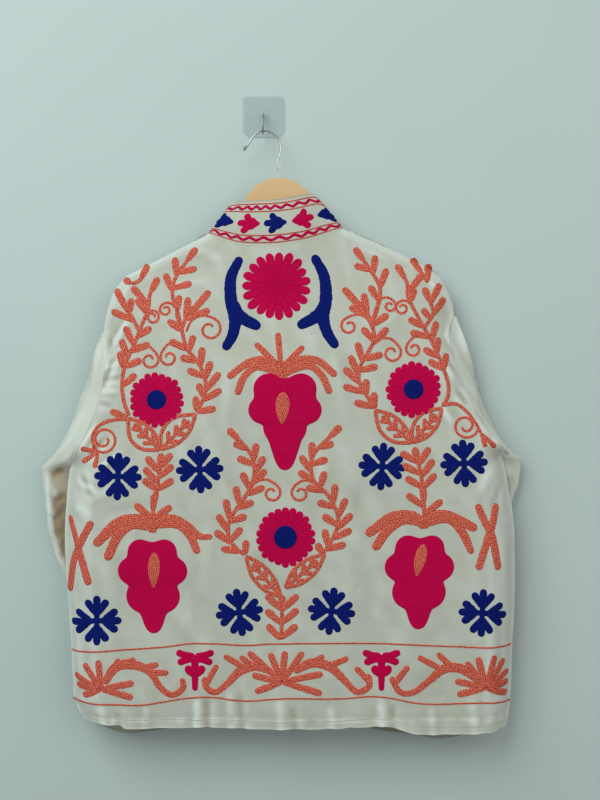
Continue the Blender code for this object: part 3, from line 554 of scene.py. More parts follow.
# creases of the sleeves as seen from the back: line, width and depth, in millimetres
SLEEVE_FOLDS_MM = (
    (-276, -520, -262, -640, 15, -9), (346, -500, 330, -560, 9, -5), (-185, -304, -221, -351, 5.1, 3.4),
    (-222, -309, -243, -404, 5.1, 3.1), (-229, -332, -249, -401, 4.2, -2.8), (-237, -407, -276, -465, 6.8, 3.4),
    (-246, -395, -287, -468, 5.1, -3.1), (-254, -445, -287, -482, 4.2, 2.5), (-282, -457, -301, -487, 4.2, -2.5),
    (-297, -509, -272, -494, 4, -4.5), (-301, -521, -282, -540, 4.2, 3.1), (-293, -544, -272, -532, 4, -4.2),
    (-301, -551, -282, -568, 4.2, 3.4), (-296, -571, -274, -553, 4, -4.2), (-293, -582, -272, -596, 4, -3.6),
    (-289, -604, -274, -590, 4, 3.1), (-286, -623, -272, -611, 4, -3.4), (-299, -487, -296, -596, 4.2, 3.6),
    (-296, -596, -276, -643, 4, 3.4), (269, -287, 291, -354, 5.1, 3.4), (285, -345, 324, -429, 6, -3.1),
    (302, -387, 341, -457, 6, 3.4), (288, -373, 310, -418, 4.2, 2.5), (332, -473, 346, -477, 4, -5.6),
    (324, -487, 352, -509, 5.1, 2.8), (341, -498, 349, -568, 4.2, 3.1), (332, -540, 341, -623, 4.2, -3.1),
    (327, -568, 338, -651, 4.2, 2.5),
)
# and as seen from the wall
SLEEVE_FAR_FOLDS_MM = (
    (-232, -360, -270, -440, 8, 1.6), (-250, -400, -292, -486, 9, -1.6), (-296, -500, -220, -540, 8, -1.8),
    (-290, -560, -200, -590, 9, 1.4), (-262, -640, -190, -690, 8, -1.4), (276, -360, 322, -440, 8, 1.6),
    (296, -400, 340, -480, 9, -1.6), (346, -500, 270, -530, 8, -1.8), (336, -560, 250, -580, 9, 1.4),
    (312, -630, 236, -680, 8, -1.4),
)


def sleeve_ring(row, angles, side):
    """A flattened level ring: a superellipse from the outer edge over the near face and back."""
    z, outer, inner, near, far = (value * MM for value in row)
    c, s = np.cos(angles), np.sin(angles)
    x = (outer + inner) / 2 + side * abs(outer - inner) / 2 * np.sign(c) * np.abs(c) ** 0.9
    y = (near + far) / 2 + abs(near - far) / 2 * np.sign(s) * np.abs(s) ** 0.7
    return np.stack([x, y, np.full_like(x, z)], axis=1)


def sleeve_points(armhole, rows, side):
    """A sleeve's rings: the armhole on back and front, a turn at the seam, the way to the crease, the cuff."""
    half = RING // 2
    arm = curve(armhole[::-1], count=half + 1)
    back_edge, front_edge = lift(back_y, arm), lift(front_y, arm)
    ring = np.vstack([back_edge, front_edge[::-1][1:-1]])
    step = np.gradient(arm, axis=0)
    out = unit(np.stack([-side * step[:, 1], np.zeros(half + 1), side * step[:, 0]], axis=1))
    out *= np.where(out[:, :1] * side < 0, -1, 1)
    slope = (back_y(arm[:, 0] + 0.002 * out[:, 0], arm[:, 1] + 0.002 * out[:, 2]) - back_edge[:, 1]) / 0.002
    back_out = unit(out + np.array([0.0, 1.0, 0.0]) * np.clip(slope, -0.6, 0.9)[:, None])
    out = np.vstack([back_out, out[::-1][1:-1]])
    place = np.arange(RING)
    turn = np.interp(place, [0, 0.5 * half, half, 1.3 * half, 2 * half], np.radians([38, 0, -68, -150, -322]))
    crease = sleeve_ring(rows[0], turn, side)
    share = np.clip((place - half) / half, 0.0, 1.0)
    bend = smoothstep(share / 0.10) * smoothstep((1.0 - share) / 0.10)
    wall_way = np.array([0.0, 1.0, 0.0])
    levels = [ring]
    for w, away, deep in ((0.0, 0.5, 0.03), (0.0, 1.0, 0.12), (0.02, 1.15, 0.5), (0.05, 1.0, 1.0)):
        levels.append(ring + w * (crease - ring) + BEND_OUT * away * out + bend[:, None] * BEND_BACK * deep * wall_way)
    for k in range(1, UPPER_ROWS + 1):
        w = 0.05 + 0.95 * (k / UPPER_ROWS)
        away = 1.0 - smoothstep((w - 0.05) / 0.6)
        move = BEND_OUT * away * out + bend[:, None] * BEND_BACK * (1.0 - w) * wall_way
        full = SLEEVE_FULL * math.sin(math.pi * w) * np.where(place < half, np.sin(np.pi * place / half), 0.0)
        level = ring + w * (crease - ring) + move - full[:, None] * wall_way
        out_share = (side * level[:, 0] - (side * level[:, 0]).min()) / np.ptp(level[:, 0])
        level[:, 0] -= side * BOW[side] * math.sin(math.pi * w**0.75) * out_share**3
        levels.append(level)
    rings = [sleeve_ring(row, turn, side) for row in rows]
    for a, b in zip(rings[:-1], rings[1:]):
        parts = max(2, int(round(abs(b[0, 2] - a[0, 2]) / LOWER_STEP)))
        levels.extend(a + (b - a) * (k + 1) / parts for k in range(parts))
    return np.array(levels)


def finish_sleeve(points, side):
    """Outward normals of a sleeve, its creases pressed in on the near face, its unevenness, and its painted light:
    shade in the creases, highlight on the crests, and shade below the elbow's fold.
    """
    normals = grid_normals(points, wrap=True)
    middle = points.mean(axis=1, keepdims=True)
    if ((points - middle)[-3:] * normals[-3:]).sum() < 0:
        normals = -normals
    x, z = points[..., 0], points[..., 2]
    seam = smoothstep(np.arange(len(points)) / 9.0)[:, None]
    near = np.clip(-normals[..., 1], 0.0, 1.0)
    far = np.clip(normals[..., 1], 0.0, 1.0)
    relief = folds(x, z, SLEEVE_FOLDS_MM) * near + folds(x, z, SLEEVE_FAR_FOLDS_MM) * far
    relief += 0.0006 * unevenness(x + points[..., 1], z, 0.03, 11)
    points = points + (relief * seam)[..., None] * normals
    # painted shade in the near face's creases and painted highlight on its crests; below the elbow's fold a painted
    # shade, clear of a lit strip along the outer edge
    painted_shading = np.clip(-relief * near / CREASE_DEPTH, -0.5, 0.8)
    outer = side * (side * points[..., 0]).max(axis=1, keepdims=True)
    below = PAINTED_SHADE_TOP_MM[side] * MM - z
    painted_fold_shade = smoothstep((np.abs(x - outer) - PAINTED_SHADE_INSET) / 0.004) * smoothstep(below / 0.006) * near
    painted_shading = np.maximum(painted_shading, 0.0) * 0.7 + np.minimum(painted_shading, 0.0) + painted_fold_shade * PAINTED_FOLD_SHADE_SHARE[side]
    return points, normals, np.clip(painted_shading, -0.6, 1.0)


for name, armhole, side in (("left", LEFT_ARMHOLE_MM, -1), ("right", RIGHT_ARMHOLE_MM, 1)):
    points, normals, painted_shading = finish_sleeve(sleeve_points(armhole, SLEEVE_RINGS_MM[name], side), side)
    made = (points, normals, SLEEVE_THICK, sleeve_canvas_painted_lighter, name + "_sleeve", True, painted_shading)
    sleeve = add_cloth(name + "_sleeve_cloth", *made)


# The collar is a stand-up band of doubled canvas, open at the front and sewn to the neck edge all
# round. It leans in towards its top edge.
COLLAR_THICK = 0.0016
COLLAR_FRONT_LEFT_MM = ((20, -174), (-10, -167), (-34, -150), (-46, -135))
COLLAR_BACK_MM = ((-46, -135), (-38, -128), (10, -126), (37, -123), (62, -117), (72, -118), (79, -126))
COLLAR_FRONT_RIGHT_MM = ((79, -126), (74, -146), (52, -166), (20, -174))
COLLAR_Y, COLLAR_HALF_FRONT, COLLAR_HALF_BACK, COLLAR_SWELL = -0.031, 0.0155, 0.0165, 0.0025
SEAM_GAP, SEAM_DROP = 0.0003, 0.0008


def collar_points(columns, rows):
    """The collar's outer face: ruled from the neck edge to its top line, with a slight swell between."""
    turn = np.linspace(0.0, 4.0, columns)
    front = turn < 1.0
    last = turn > 3.0
    back_part = ~front & ~last
    low = np.zeros((columns, 2))
    top = np.zeros((columns, 2))
    for part, share, low_table, top_table in (
        (front, turn[front], FRONT_NECK_MM["left"][::-1], COLLAR_FRONT_LEFT_MM),
        (back_part, (turn[back_part] - 1.0) / 2.0, BACK_NECK_MM, COLLAR_BACK_MM),
        (last, turn[last] - 3.0, FRONT_NECK_MM["right"], COLLAR_FRONT_RIGHT_MM),
    ):
        low[part] = curve(low_table, shares=share)
        top[part] = curve(top_table, shares=share)
    neck_back, neck_front = back_y(low[:, 0], low[:, 1]), front_y(low[:, 0], low[:, 1])
    low_y = np.where(back_part, neck_back - SEAM_GAP, neck_front + SEAM_GAP)
    swing = np.cos(0.5 * math.pi * turn)
    top_y = COLLAR_Y + np.where(swing > 0, COLLAR_HALF_FRONT, COLLAR_HALF_BACK) * np.sign(swing) * np.abs(swing) ** 0.45
    lower = np.stack([low[:, 0], low_y, low[:, 1] - SEAM_DROP], axis=1)
    upper = np.stack([top[:, 0], top_y, top[:, 1]], axis=1)
    around = unit(np.stack([low[:, 0] - MIDDLE_X, 2.2 * (low_y - COLLAR_Y), np.zeros(columns)], axis=1))
    w = np.linspace(0.0, 1.0, rows)[:, None, None]
    return lower + w * (upper - lower) + COLLAR_SWELL * np.sin(math.pi * w) * around


band = collar_points(241, 31)
band_normals = grid_normals(band)
band_away = band - np.array([MIDDLE_X, COLLAR_Y, 0.0])
band_away[..., 2] = 0.0
band_normals *= np.where((band_normals * band_away).sum(axis=-1, keepdims=True) < 0, -1, 1)
collar = add_cloth("collar_band", band, band_normals, COLLAR_THICK, canvas, "collar")


# The embroidery is worked by hand in cotton thread, in close rows of chain stitch that stand about a
# millimetre above the cloth. It is charted in units as seen from the viewing point: across, then down.
VIEW_POINT = (0.0517, -1.575, -0.401)
LENS_MM, SENSOR_MM = 50.0, 36.0
CHART_MIDDLE = (300.0, 400.0)
CHART_REACH = LENS_MM / SENSOR_MM * 2.0 * CHART_MIDDLE[1]
THREAD_RISE = 0.0012
THREAD_SINK = 0.0003
TOP_RISE = 0.0011
# widths in millimetres of stems, curls, border lines and a bud from its root; the hem's stitches above the hem
STEM, THIN, LINE = 5.6, 4.1, 3.4
HEM_UP = 11.0
BUD = (6.4, 9.6, 10.6, 10.2)
# the magenta flowers: (centre across, down, radius, petals, radius of the navy eye), and how deep the notches are
PETAL_DEPTH, TUFT_DEPTH = 0.15, 0.30
FLOWERS = (
    (276.7, 285.8, 35.0, 19, 0.0),
    (156.6, 399.8, 27.3, 21, 10.0),
    (413.5, 389.4, 28.0, 21, 10.2),
    (285.4, 537.2, 30.0, 22, 11.8),
)
# the hearts: a drop that narrows from (down, radius) to (down, radius), and the round lobes on it:
# (out from the middle, down from the notch, radius), then the places: (across, down, heart, lean)
HEART_UPPER = (((26, 27), (83, 9)), ((16, 10, 16), (23, 31, 14), (4, 48, 18)))
HEART_LOWER = (((25, 25), (83, 9)), ((12, 10, 13), (21, 29, 14), (10, 54, 17)))
HEART_MIDDLE = 40.0
HEARTS = ((285, 379, HEART_UPPER, 0.0), (152, 542, HEART_LOWER, 0.02), (420, 538, HEART_LOWER, -0.02))
# coral almonds on the hearts: (across, down, half width, half height, lean)
ALMONDS = ((282.5, 408, 7.2, 16.5, -0.03), (154, 570, 6.2, 18, -0.02), (420, 560, 6.2, 16.5, -0.2))
# navy stars of four three-lobed heads: (across, down, size, turn in degrees)
STARS = (
    (118, 476.5, 24, 2), (199.7, 469.5, 24, -3), (382.2, 466.5, 24, 4), (464, 463.4, 24, -4),
    (96.8, 620.6, 25, 0), (239.4, 612.4, 24, -8), (331.5, 611.2, 24, 7), (482.3, 613, 24, 3),
)
# navy forked branches: the trunk down to its longer foot, then the side foot
BRANCHES = (
    (((239, 260), (231, 278), (231, 300), (235, 318), (233, 334), (226, 347)), ((232, 300), (240, 316), (257, 326))),
    (((315, 258), (324, 276), (326, 298), (323, 316), (327, 332), (335, 345)), ((326, 300), (318, 315), (301, 325))),
)
# sprigs: the stem from its base to its tip, then the ends of its buds
SPRIGS = (
    (
        ((196, 412), (202, 402), (206, 388), (203, 373), (197, 361), (187, 349), (184, 340), (181, 326), (177, 310),
         (173, 299), (173, 285), (179, 272), (195, 250)),
        ((175, 260), (166, 276), (170, 322), (172, 342), (183, 358), (190, 371), (199, 386), (196, 399),
         (194, 269), (189, 284), (193, 338), (202, 350), (210, 364), (218, 375), (219, 391), (213, 409)),
    ),
    (((181, 330), (187, 316), (191, 309)), ((208, 293), (188, 300), (207, 311))),
    (((181, 328), (177, 314), (179, 298)), ()),
    (
        ((129, 416), (124, 402), (122, 384), (125, 365), (133, 347), (139, 332), (148, 309), (150, 294), (157, 280)),
        ((134, 289), (138, 301), (126, 329), (149, 329), (122, 342), (147, 345), (120, 354), (139, 361), (134, 376)),
    ),
    (((139, 331), (132, 317), (128, 311), (131, 301)), ((114, 312), (117, 291))),
    (((131, 284), (140, 280), (147, 267)), ((126, 280),)),
    (((128, 418), (113, 412)), ()),
    (
        ((375, 409), (367, 396), (359, 381), (360, 367), (367, 354), (374, 340), (373, 326), (375, 312), (380, 299),
         (379, 285), (371, 271), (356, 250)),
        ((375, 258), (386, 271), (386, 316), (386, 330), (380, 355), (375, 367), (366, 382), (374, 395),
         (357, 266), (364, 330), (358, 345), (351, 358), (346, 370), (346, 387), (357, 403)),
    ),
    (((374, 325), (365, 310), (362, 304)), ((345, 290), (364, 296), (352, 308))),
    (((375, 318), (378, 300), (371, 288)), ()),
    (
        ((442, 407), (448, 396), (448, 383), (443, 368), (436, 351), (430, 338), (424, 328), (418, 317), (408, 297),
         (407, 283), (398, 267)),
        ((421, 276), (414, 291), (411, 320), (436, 324), (413, 333), (438, 340), (426, 350), (446, 356), (431, 362)),
    ),
    (((424, 328), (433, 314), (431, 304), (425, 290)), ((439, 286), (443, 300), (424, 311))),
    (((428, 283), (421, 272), (413, 261)), ((428, 267),)),
    (
        ((245, 555), (236, 548), (229, 538), (229, 522), (235, 511), (245, 497), (253, 480), (254, 465), (248, 450),
         (230, 431)),
        ((236, 444), (256, 446), (240, 459), (263, 459), (243, 475), (264, 472), (236, 489), (262, 488), (226, 502),
         (251, 503), (219, 517), (244, 517), (217, 533), (240, 530), (224, 549), (246, 543)),
    ),
    (
        ((323, 554), (333, 538), (338, 523), (336, 510), (327, 494), (314, 481), (311, 465), (316, 451), (339, 428)),
        ((312, 445), (331, 444), (302, 458), (325, 460), (301, 473), (324, 474), (309, 488), (335, 487), (320, 503),
         (345, 501), (325, 517), (350, 516), (325, 532), (349, 531), (318, 546), (343, 545)),
    ),
    (
        ((157, 490), (159, 474), (161, 456)),
        ((148, 459), (146, 470), (145, 481), (170, 456), (171, 467), (171, 481)),
    ),
    (((153, 528), (153, 512), (154, 497)), ((137, 506), (169, 508))),
    (((157, 490), (154, 500)), ()),
    (
        ((423, 488), (420, 470), (415, 450)),
        ((403, 454), (404, 466), (408, 479), (428, 450), (432, 462), (434, 476)),
    ),
    (((424, 522), (424, 506), (423, 489)), ((409, 496), (440, 502))),
    (((281, 640), (282, 618), (282, 598)), ((268, 597), (268, 612), (269, 627), (296, 597), (296, 611), (295, 627))),
)
# the three buds over the middle heart: their root, then their ends
CROWN = ((281, 368), (278, 335), (257, 345), (302, 348))
# curls: the start, the centre of the eye, its radius, and the way it turns
CURLS = (
    ((186, 332), (210, 329), 11.5, 1), ((128, 352), (150, 360), 9.0, 1), ((187, 347), (168.6, 357.6), 8.5, -1),
    ((148, 312), (152.6, 317), 6.4, 1), ((175, 308), (165.4, 309.7), 6.0, -1),
    ((373, 330), (349, 326), 8.5, -1), ((377, 303), (390, 306), 6.0, 1), ((411, 305), (402, 308), 6.5, -1),
    ((371, 345), (392, 353), 9.5, 1), ((434, 342), (413.5, 349), 8.0, -1),
    ((97, 451), (104, 439.5), 11.5, -1), ((478, 430), (465, 426), 10.5, 1),
    ((249, 490), (272, 493), 9.0, 1), ((320, 489), (300, 493), 9.0, -1),
)
# tendrils that carry the side curls: path, then the ends of their buds
TENDRILS = (
    (((129, 419), (113, 420), (100, 425), (93, 435), (94, 447), (98, 452)), ((83, 449), (84, 461), (95, 466))),
    (((443, 405), (456, 404), (467, 412), (475, 422), (481, 433)), ((485, 445), (494, 446))),
)
# outlined leaves: the base, the tip, the bow of each side, in units
LEAVES = (
    ((160, 450), (128, 418), 9, 15), ((160, 450), (196, 414), -9, -15),
    ((412, 443), (375, 410), 9, 14), ((412, 443), (442, 408), -9, -13),
    ((281, 597), (246, 556), 8, 10), ((285, 588), (325, 554), -9, -9),
)
# thick arms: path and widths in millimetres
ARMS = (
    (((286, 379), (279, 368), (266, 360), (248, 363), (230, 376)), (8, 12.5, 11.4, 10.3, 10.3)),
    (((284, 378), (272, 370), (256, 367), (244, 377), (238, 392)), (8, 11.4, 10.3, 10.3, 10.3)),
    (((278, 379), (286, 367), (300, 360), (318, 361), (334, 374)), (8, 12.5, 11.4, 10.3, 10.3)),
    (((280, 378), (294, 369), (310, 366), (322, 376), (329, 391)), (8, 11.4, 10.3, 10.3, 10.3)),
    (((156, 532), (146, 523), (134, 520), (116, 525), (97, 543)), (9, 16, 18, 15, 12.5)),
    (((150, 528), (132, 525), (118, 536), (108, 557)), (9, 14, 14, 12.5)),
    (((149, 532), (158, 523), (170, 520), (186, 526), (199, 536), (210, 537)), (9, 15, 17, 14, 10, 8)),
    (((155, 526), (176, 524), (189, 534), (197, 551)), (8, 13, 12, 10)),
    (((428, 528), (418, 519), (406, 516), (388, 520), (369, 533)), (9, 16, 18, 15, 12.5)),
    (((422, 524), (404, 520), (388, 530), (376, 547)), (9, 14, 14, 12.5)),
    (((419, 528), (430, 519), (442, 516), (460, 521), (474, 528)), (9, 16, 18, 14, 11.5)),
    (((426, 524), (448, 519), (462, 532), (471, 551)), (8, 13, 12, 10)),
    (((70, 515), (75, 535), (79, 550), (88, 582)), (9, 10, 11.5, 12)),
    (((92, 521), (82, 540), (74, 560), (70, 588)), (11, 11.5, 11.5, 11)),
    (((477, 504), (485, 522), (492, 536), (498, 567)), (10, 11, 11, 11)),
    (((496, 503), (493, 522), (487, 542), (479, 567)), (10, 11, 11, 11)),
)
# the border between its two lines of chain stitch: fans of fingers (root, then finger ends)
FANS = (
    ((101, 689), ((83, 695), (77, 683), (75, 673), (84, 663), (98, 660), (134, 683), (133, 698))),
    ((282, 682), ((248, 652), (270, 653), (285, 651), (303, 652), (252, 675), (255, 692), (323, 674), (322, 694))),
    ((486, 688), ((466, 662), (478, 657), (495, 655), (504, 658), (508, 669), (508, 680), (507, 692), (457, 695),
                  (455, 681))),
)
# waved stems between the fans: path, then the ends of their buds
WAVES = (
    (((104, 684), (116, 667), (134, 665), (150, 672), (160, 687), (172, 695), (183, 688), (182, 678)),
     ((133, 660), (156, 665), (166, 673), (118, 661))),
    (((272, 672), (256, 666), (240, 671), (228, 683), (216, 692), (207, 688), (204, 677)),
     ((242, 658), (226, 657), (216, 667))),
    (((294, 672), (312, 663), (330, 667), (344, 680), (357, 692), (369, 686), (368, 674)),
     ((322, 657), (346, 659), (357, 669))),
    (((482, 683), (462, 669), (444, 669), (430, 680), (414, 692), (400, 692), (391, 677)),
     ((439, 655), (420, 658), (407, 668))),
)
WAVE_WIDTHS = (9, 14, 14, 11, 9, 9, 9)
PALMS = ((195, 652), (381.5, 652))
BORDER_LINES = (
    ((72, 649), (110, 651), (164, 647), (198, 643.5), (244, 645.4), (280, 644), (380, 643.5), (440, 646), (511, 643.5)),
    ((73, 698), (116, 704.8), (146, 704.8), (198, 697.5), (244, 701), (281, 699), (333, 699), (380, 697), (425, 704),
     (483, 703), (510, 699.4)),
)


def on_circle(turn):
    """Places on a circle of radius one."""
    return np.stack([np.cos(turn), np.sin(turn)], axis=-1)


def chart_place(points):
    """Chart units to the cloth's X and Z: the line of sight is met with the back's face in a few rounds."""
    points = np.asarray(points, dtype=float)
    y = np.full(points.shape[:-1], RIDGE_Y - BACK_DEPTH)
    for _ in range(8):
        scale = (y - VIEW_POINT[1]) / CHART_REACH
        x = VIEW_POINT[0] + (points[..., 0] - CHART_MIDDLE[0]) * scale
        z = VIEW_POINT[2] - (points[..., 1] - CHART_MIDDLE[1]) * scale
        y = 0.5 * (y + back_y(x, z))
    return np.stack([x, z], axis=-1)


def plain_place(points):
    """Places given in millimetres, to metres."""
    return np.asarray(points, dtype=float) * MM


def back_face(flat):
    """Places on the back's outer face above (x, z), and its normals from central differences."""
    x, z, small = flat[..., 0], flat[..., 1], 0.0008
    slope_x = (back_y(x + small, z) - back_y(x - small, z)) / (2 * small)
    slope_z = (back_y(x, z + small) - back_y(x, z - small)) / (2 * small)
    normals = unit(np.stack([slope_x, -np.ones_like(x), slope_z], axis=-1))
    return lift(back_y, flat), normals


def path_of(table, place=chart_place, width=4.0, step=1.3, past=(0, 0)):
    """A smooth path through chart places, with closer stations near both ends, which may go half a width past."""
    line = curve(place(np.array(table, dtype=float)) / MM, count=80)
    starts, stops = (0.5 * width * MM * share for share in past)
    line[0] += starts * unit(line[0] - line[2])
    line[-1] += stops * unit(line[-1] - line[-3])
    along = lengths(line)
    cap = min(0.5 * width * MM, 0.45 * along[-1])
    near = cap * np.array([0.0, 0.06, 0.22, 0.5, 1.0])
    count = max(2, int((along[-1] - 2 * cap) / (step * MM)) + 1)
    at = np.concatenate([near[:-1], np.linspace(cap, along[-1] - cap, count), along[-1] - near[:-1][::-1]])
    return np.stack([np.interp(at, along, line[:, k]) for k in (0, 1)], axis=1)


def strand(path, widths, surface=back_face, rise=THREAD_RISE, across=9, dot=0.0):
    """A raised band of stitches: round ends, a flattened arch across it, an uneven edge or a row of dots."""
    along = lengths(path)
    way = unit(np.gradient(path, axis=0))
    side = np.stack([-way[:, 1], way[:, 0]], axis=1)
    width = np.interp(along / along[-1], np.linspace(0.0, 1.0, len(widths)), widths) * MM
    width *= 1.0 + 0.06 * np.random.default_rng(int(abs(path[0, 0]) * 1e6)).uniform(-1.0, 1.0, len(along))
    if dot:
        width *= 0.72 + 0.28 * np.cos(2.0 * math.pi * along / (dot * MM))
    end = np.minimum(along, along[-1] - along) / (0.5 * width)
    cap = rounding(end, 1.0)
    q = np.sin(np.linspace(-0.5 * math.pi, 0.5 * math.pi, across))
    flat = path[:, None] + (0.5 * width * cap)[:, None, None] * q[None, :, None] * side[:, None]
    points, normals = surface(flat)
    height = rise * np.sqrt(1.0 - np.abs(q) ** 3)[None] * (cap**0.6)[:, None] - THREAD_SINK
    uv = np.stack([np.broadcast_to(along[:, None], height.shape), 0.5 * width[:, None] * q[None]], axis=-1) / MM
    return points + height[..., None] * normals, uv, False, True


def filled(outline, spine, rise=THREAD_RISE, rings=12, radial=False):
    """A filled shape: rings drawn in from its outline towards its spine, rounded down at the rim."""
    s = 1.0 - np.linspace(0.0, 1.0, rings)[:, None] ** 1.7
    reach = np.linalg.norm(outline - spine, axis=1)[None]
    points, normals = back_face(spine[None] + s[..., None] * (outline - spine)[None])
    deep = (1.0 - s) * reach
    dome = 0.0 if radial else 0.0005
    height = rise * rounding(deep, 0.0022) + dome * easing(deep, 0.016) - THREAD_SINK
    step = np.linalg.norm(outline - np.roll(outline, 1, axis=0), axis=1)
    round_it = np.broadcast_to(np.cumsum(step)[None], deep.shape)
    uv = np.stack([deep, 0.6 * round_it] if radial else [round_it, deep], axis=-1) / MM
    nxt = np.roll(outline, -1, axis=0)
    turned = np.sum(outline[:, 0] * nxt[:, 1] - nxt[:, 0] * outline[:, 1]) < 0
    return points + height[..., None] * normals, uv, True, turned


def heart_lines(across, down, heart, lean):
    """A lobed heart's outline and the spine it is filled from.

    The drop is a row of discs from its wide end to its tip. Seen from the middle of the heart, the
    edge is the far side of the farthest disc or lobe, softened by a short running mean so that they
    meet in soft dips; the other half is its mirror image.
    """
    turn = np.linspace(-0.5 * math.pi, 0.5 * math.pi, 121)
    way = on_circle(turn)
    reach = np.zeros(len(turn))
    (top, wide), (tip, narrow) = heart[0]
    discs = [(0.0, low, size) for low, size in zip(np.linspace(top, tip, 20), np.linspace(wide, narrow, 20))]
    for out, low, radius in discs + list(heart[1]):
        centre = np.array([out, low - HEART_MIDDLE])
        along = way @ centre
        left_over = radius**2 - centre @ centre + along**2
        reach = np.maximum(reach, np.where(left_over > 0, along + np.sqrt(np.maximum(left_over, 0.0)), 0.0))
    window = np.hanning(15) / np.hanning(15).sum()
    reach = np.convolve(np.pad(reach, 7, mode="reflect"), window, "valid")
    right = reach[:, None] * way + (0.0, HEART_MIDDLE)
    left = right * np.array([-1.0, 1.0])
    outline = np.vstack([right, left[::-1][1:-1]])
    spine = np.stack([np.zeros(len(outline)), np.clip(outline[:, 1], 18.0, 74.0)], axis=1)
    leaned = np.array([[1.0, 0.0], [lean, 1.0]])
    return chart_place(outline @ leaned + (across, down)), chart_place(spine @ leaned + (across, down))


def petal_ring(centre, radius, petals, depth, seed):
    """A scalloped outline: the radius dips at each notch, and each petal is a little uneven."""
    turn = np.linspace(0.0, 2 * math.pi, petals * 18, endpoint=False)
    uneven = np.random.default_rng(seed).uniform(-0.045, 0.045, petals)
    own = uneven[(turn / (2 * math.pi) * petals).astype(int)]
    lobe = np.abs(np.sin(0.5 * petals * turn)) ** 0.36
    reach = radius * (1.0 - depth * (1.0 - lobe) + own * lobe)
    return np.array(centre) + reach[:, None] * on_circle(turn)


def bud_root(stem, end, back=12.0):
    """Where a bud leaves its stem: the nearest place on the stem, moved back towards its base."""
    fine = curve(stem, count=200) / MM
    along = lengths(fine)
    near = along[np.argmin(np.linalg.norm(fine - np.array(end), axis=1))]
    at = max(0.0, near - back)
    return tuple(np.interp(at, along, fine[:, k]) for k in (0, 1))


def bud(start, end, widths=BUD):
    """One club-shaped bud from its stem to past the centre of its round end."""
    return strand(path_of((start, end), width=widths[-1], past=(0, 0.8)), widths)


def sprig(stem, ends):
    """A stem whose own tip is a bud, with the buds along it."""
    made = [strand(path_of(stem, width=STEM), (STEM,))]
    tip = bud_root(stem, stem[-1], 14.0)
    made.append(bud(tip, stem[-1]))
    made.extend(bud(bud_root(stem, end), end) for end in ends)
    return made


def curl(start, eye, radius, way):
    """A thin stem that sweeps round an eye and winds into it."""
    away = np.array(start, dtype=float) - np.array(eye, dtype=float)
    first = math.atan2(away[1], away[0])
    turned = np.radians(np.arange(0, 520, 30))
    reach = np.interp(np.degrees(turned), (0, 100, 330, 510), (np.hypot(*away), radius, 0.72 * radius, 0.28 * radius))
    angle = first + way * turned
    table = np.array(eye) + reach[:, None] * on_circle(angle)
    return strand(path_of(table, width=THIN, step=1.0), (THIN,), across=7)


def leaf(base, tip, bow_one, bow_two):
    """An outlined leaf: two bowed sides, with a short sprig inside."""
    base, tip = np.array(base, dtype=float), np.array(tip, dtype=float)
    along = tip - base
    square = np.array([-along[1], along[0]]) / np.hypot(*along)
    made = []
    for bow in (abs(bow_one), -abs(bow_two)):
        table = [base, base + 0.3 * along + 0.8 * bow * square, base + 0.65 * along + 0.85 * bow * square, tip]
        made.append(strand(path_of(table, width=STEM), (STEM,)))
    inner = (tuple(base + 0.05 * along), tuple(base + 0.45 * along), tuple(base + 0.82 * along))
    ends = []
    for share in (0.35, 0.55, 0.75):
        for sign in (-1, 1):
            ends.append(tuple(base + share * along + sign * (0.75 - 0.5 * share) * 10.5 * square))
    made.append(strand(path_of(inner, width=STEM), (STEM, 5.5, 7.5)))
    made.extend(bud(bud_root(inner, end, 7.0), end, (4.0, 6.0, 7.0)) for end in ends)
    return made


def star(centre, size, turn):
    """A star of four heads, each of three round lobes that share a foot, round a small middle knot."""
    knot = (centre[0] - 1.5, centre[1]), (centre[0] + 1.5, centre[1])
    made = [strand(path_of(knot, width=9.0, past=(1, 1)), (9.0,), across=7)]
    for quarter in range(4):
        middle = math.radians(turn + 90 * quarter)
        for lean, far, foot in ((0.0, 1.0, 0.04), (0.48, 0.93, 0.22), (-0.48, 0.93, 0.22)):
            start = np.array(centre) + size * foot * on_circle(middle)
            end = np.array(centre) + size * far * on_circle(middle + lean)
            made.append(strand(path_of((start, end), width=9.5), (7.5, 9.5, 10.8, 11.0), across=7))
    return made


def palm(across, down):
    """A palm: two pairs of level arms over a small heart, on a stem that ends in a point."""
    made = []
    for sign in (-1, 1):
        for far, drop, width in ((16, 1, 10.0), (14.5, 10, 10.5)):
            table = ((across, down + 5), (across + sign * 9, down + 3 + 0.5 * drop), (across + sign * far, down + drop))
            made.append(strand(path_of(table, width=width, past=(0, 0.8)), (12, 10, width)))
        table = ((across, down + 24), (across + sign * 5, down + 19), (across + sign * 9, down + 14))
        made.append(strand(path_of(table, width=12.0), (9, 12, 12)))
    made.append(strand(path_of(((across, down + 3), (across, down + 20), (across, down + 39)), width=8.0), (12, 10, 8)))
    return made


def add_stitches(name, made, material):
    """One mesh of many bands and fills, carried by the jacket."""
    vertices, faces, uvs, start = [], [], [], 0
    for k, (points, uv, closed, turned) in enumerate(made):
        rows, cols = points.shape[:2]
        own = grid_faces(rows, cols, closed, start)
        faces.append(own[:, ::-1] if turned else own)
        vertices.append(points.reshape(-1, 3))
        uvs.append(uv.reshape(-1, 2) + (23.7 * k % 400.0, 0.0))
        start += rows * cols
    stitches = add_mesh(name, np.vstack(vertices), np.vstack(faces), material, np.vstack(uvs))
    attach(stitches, "root")


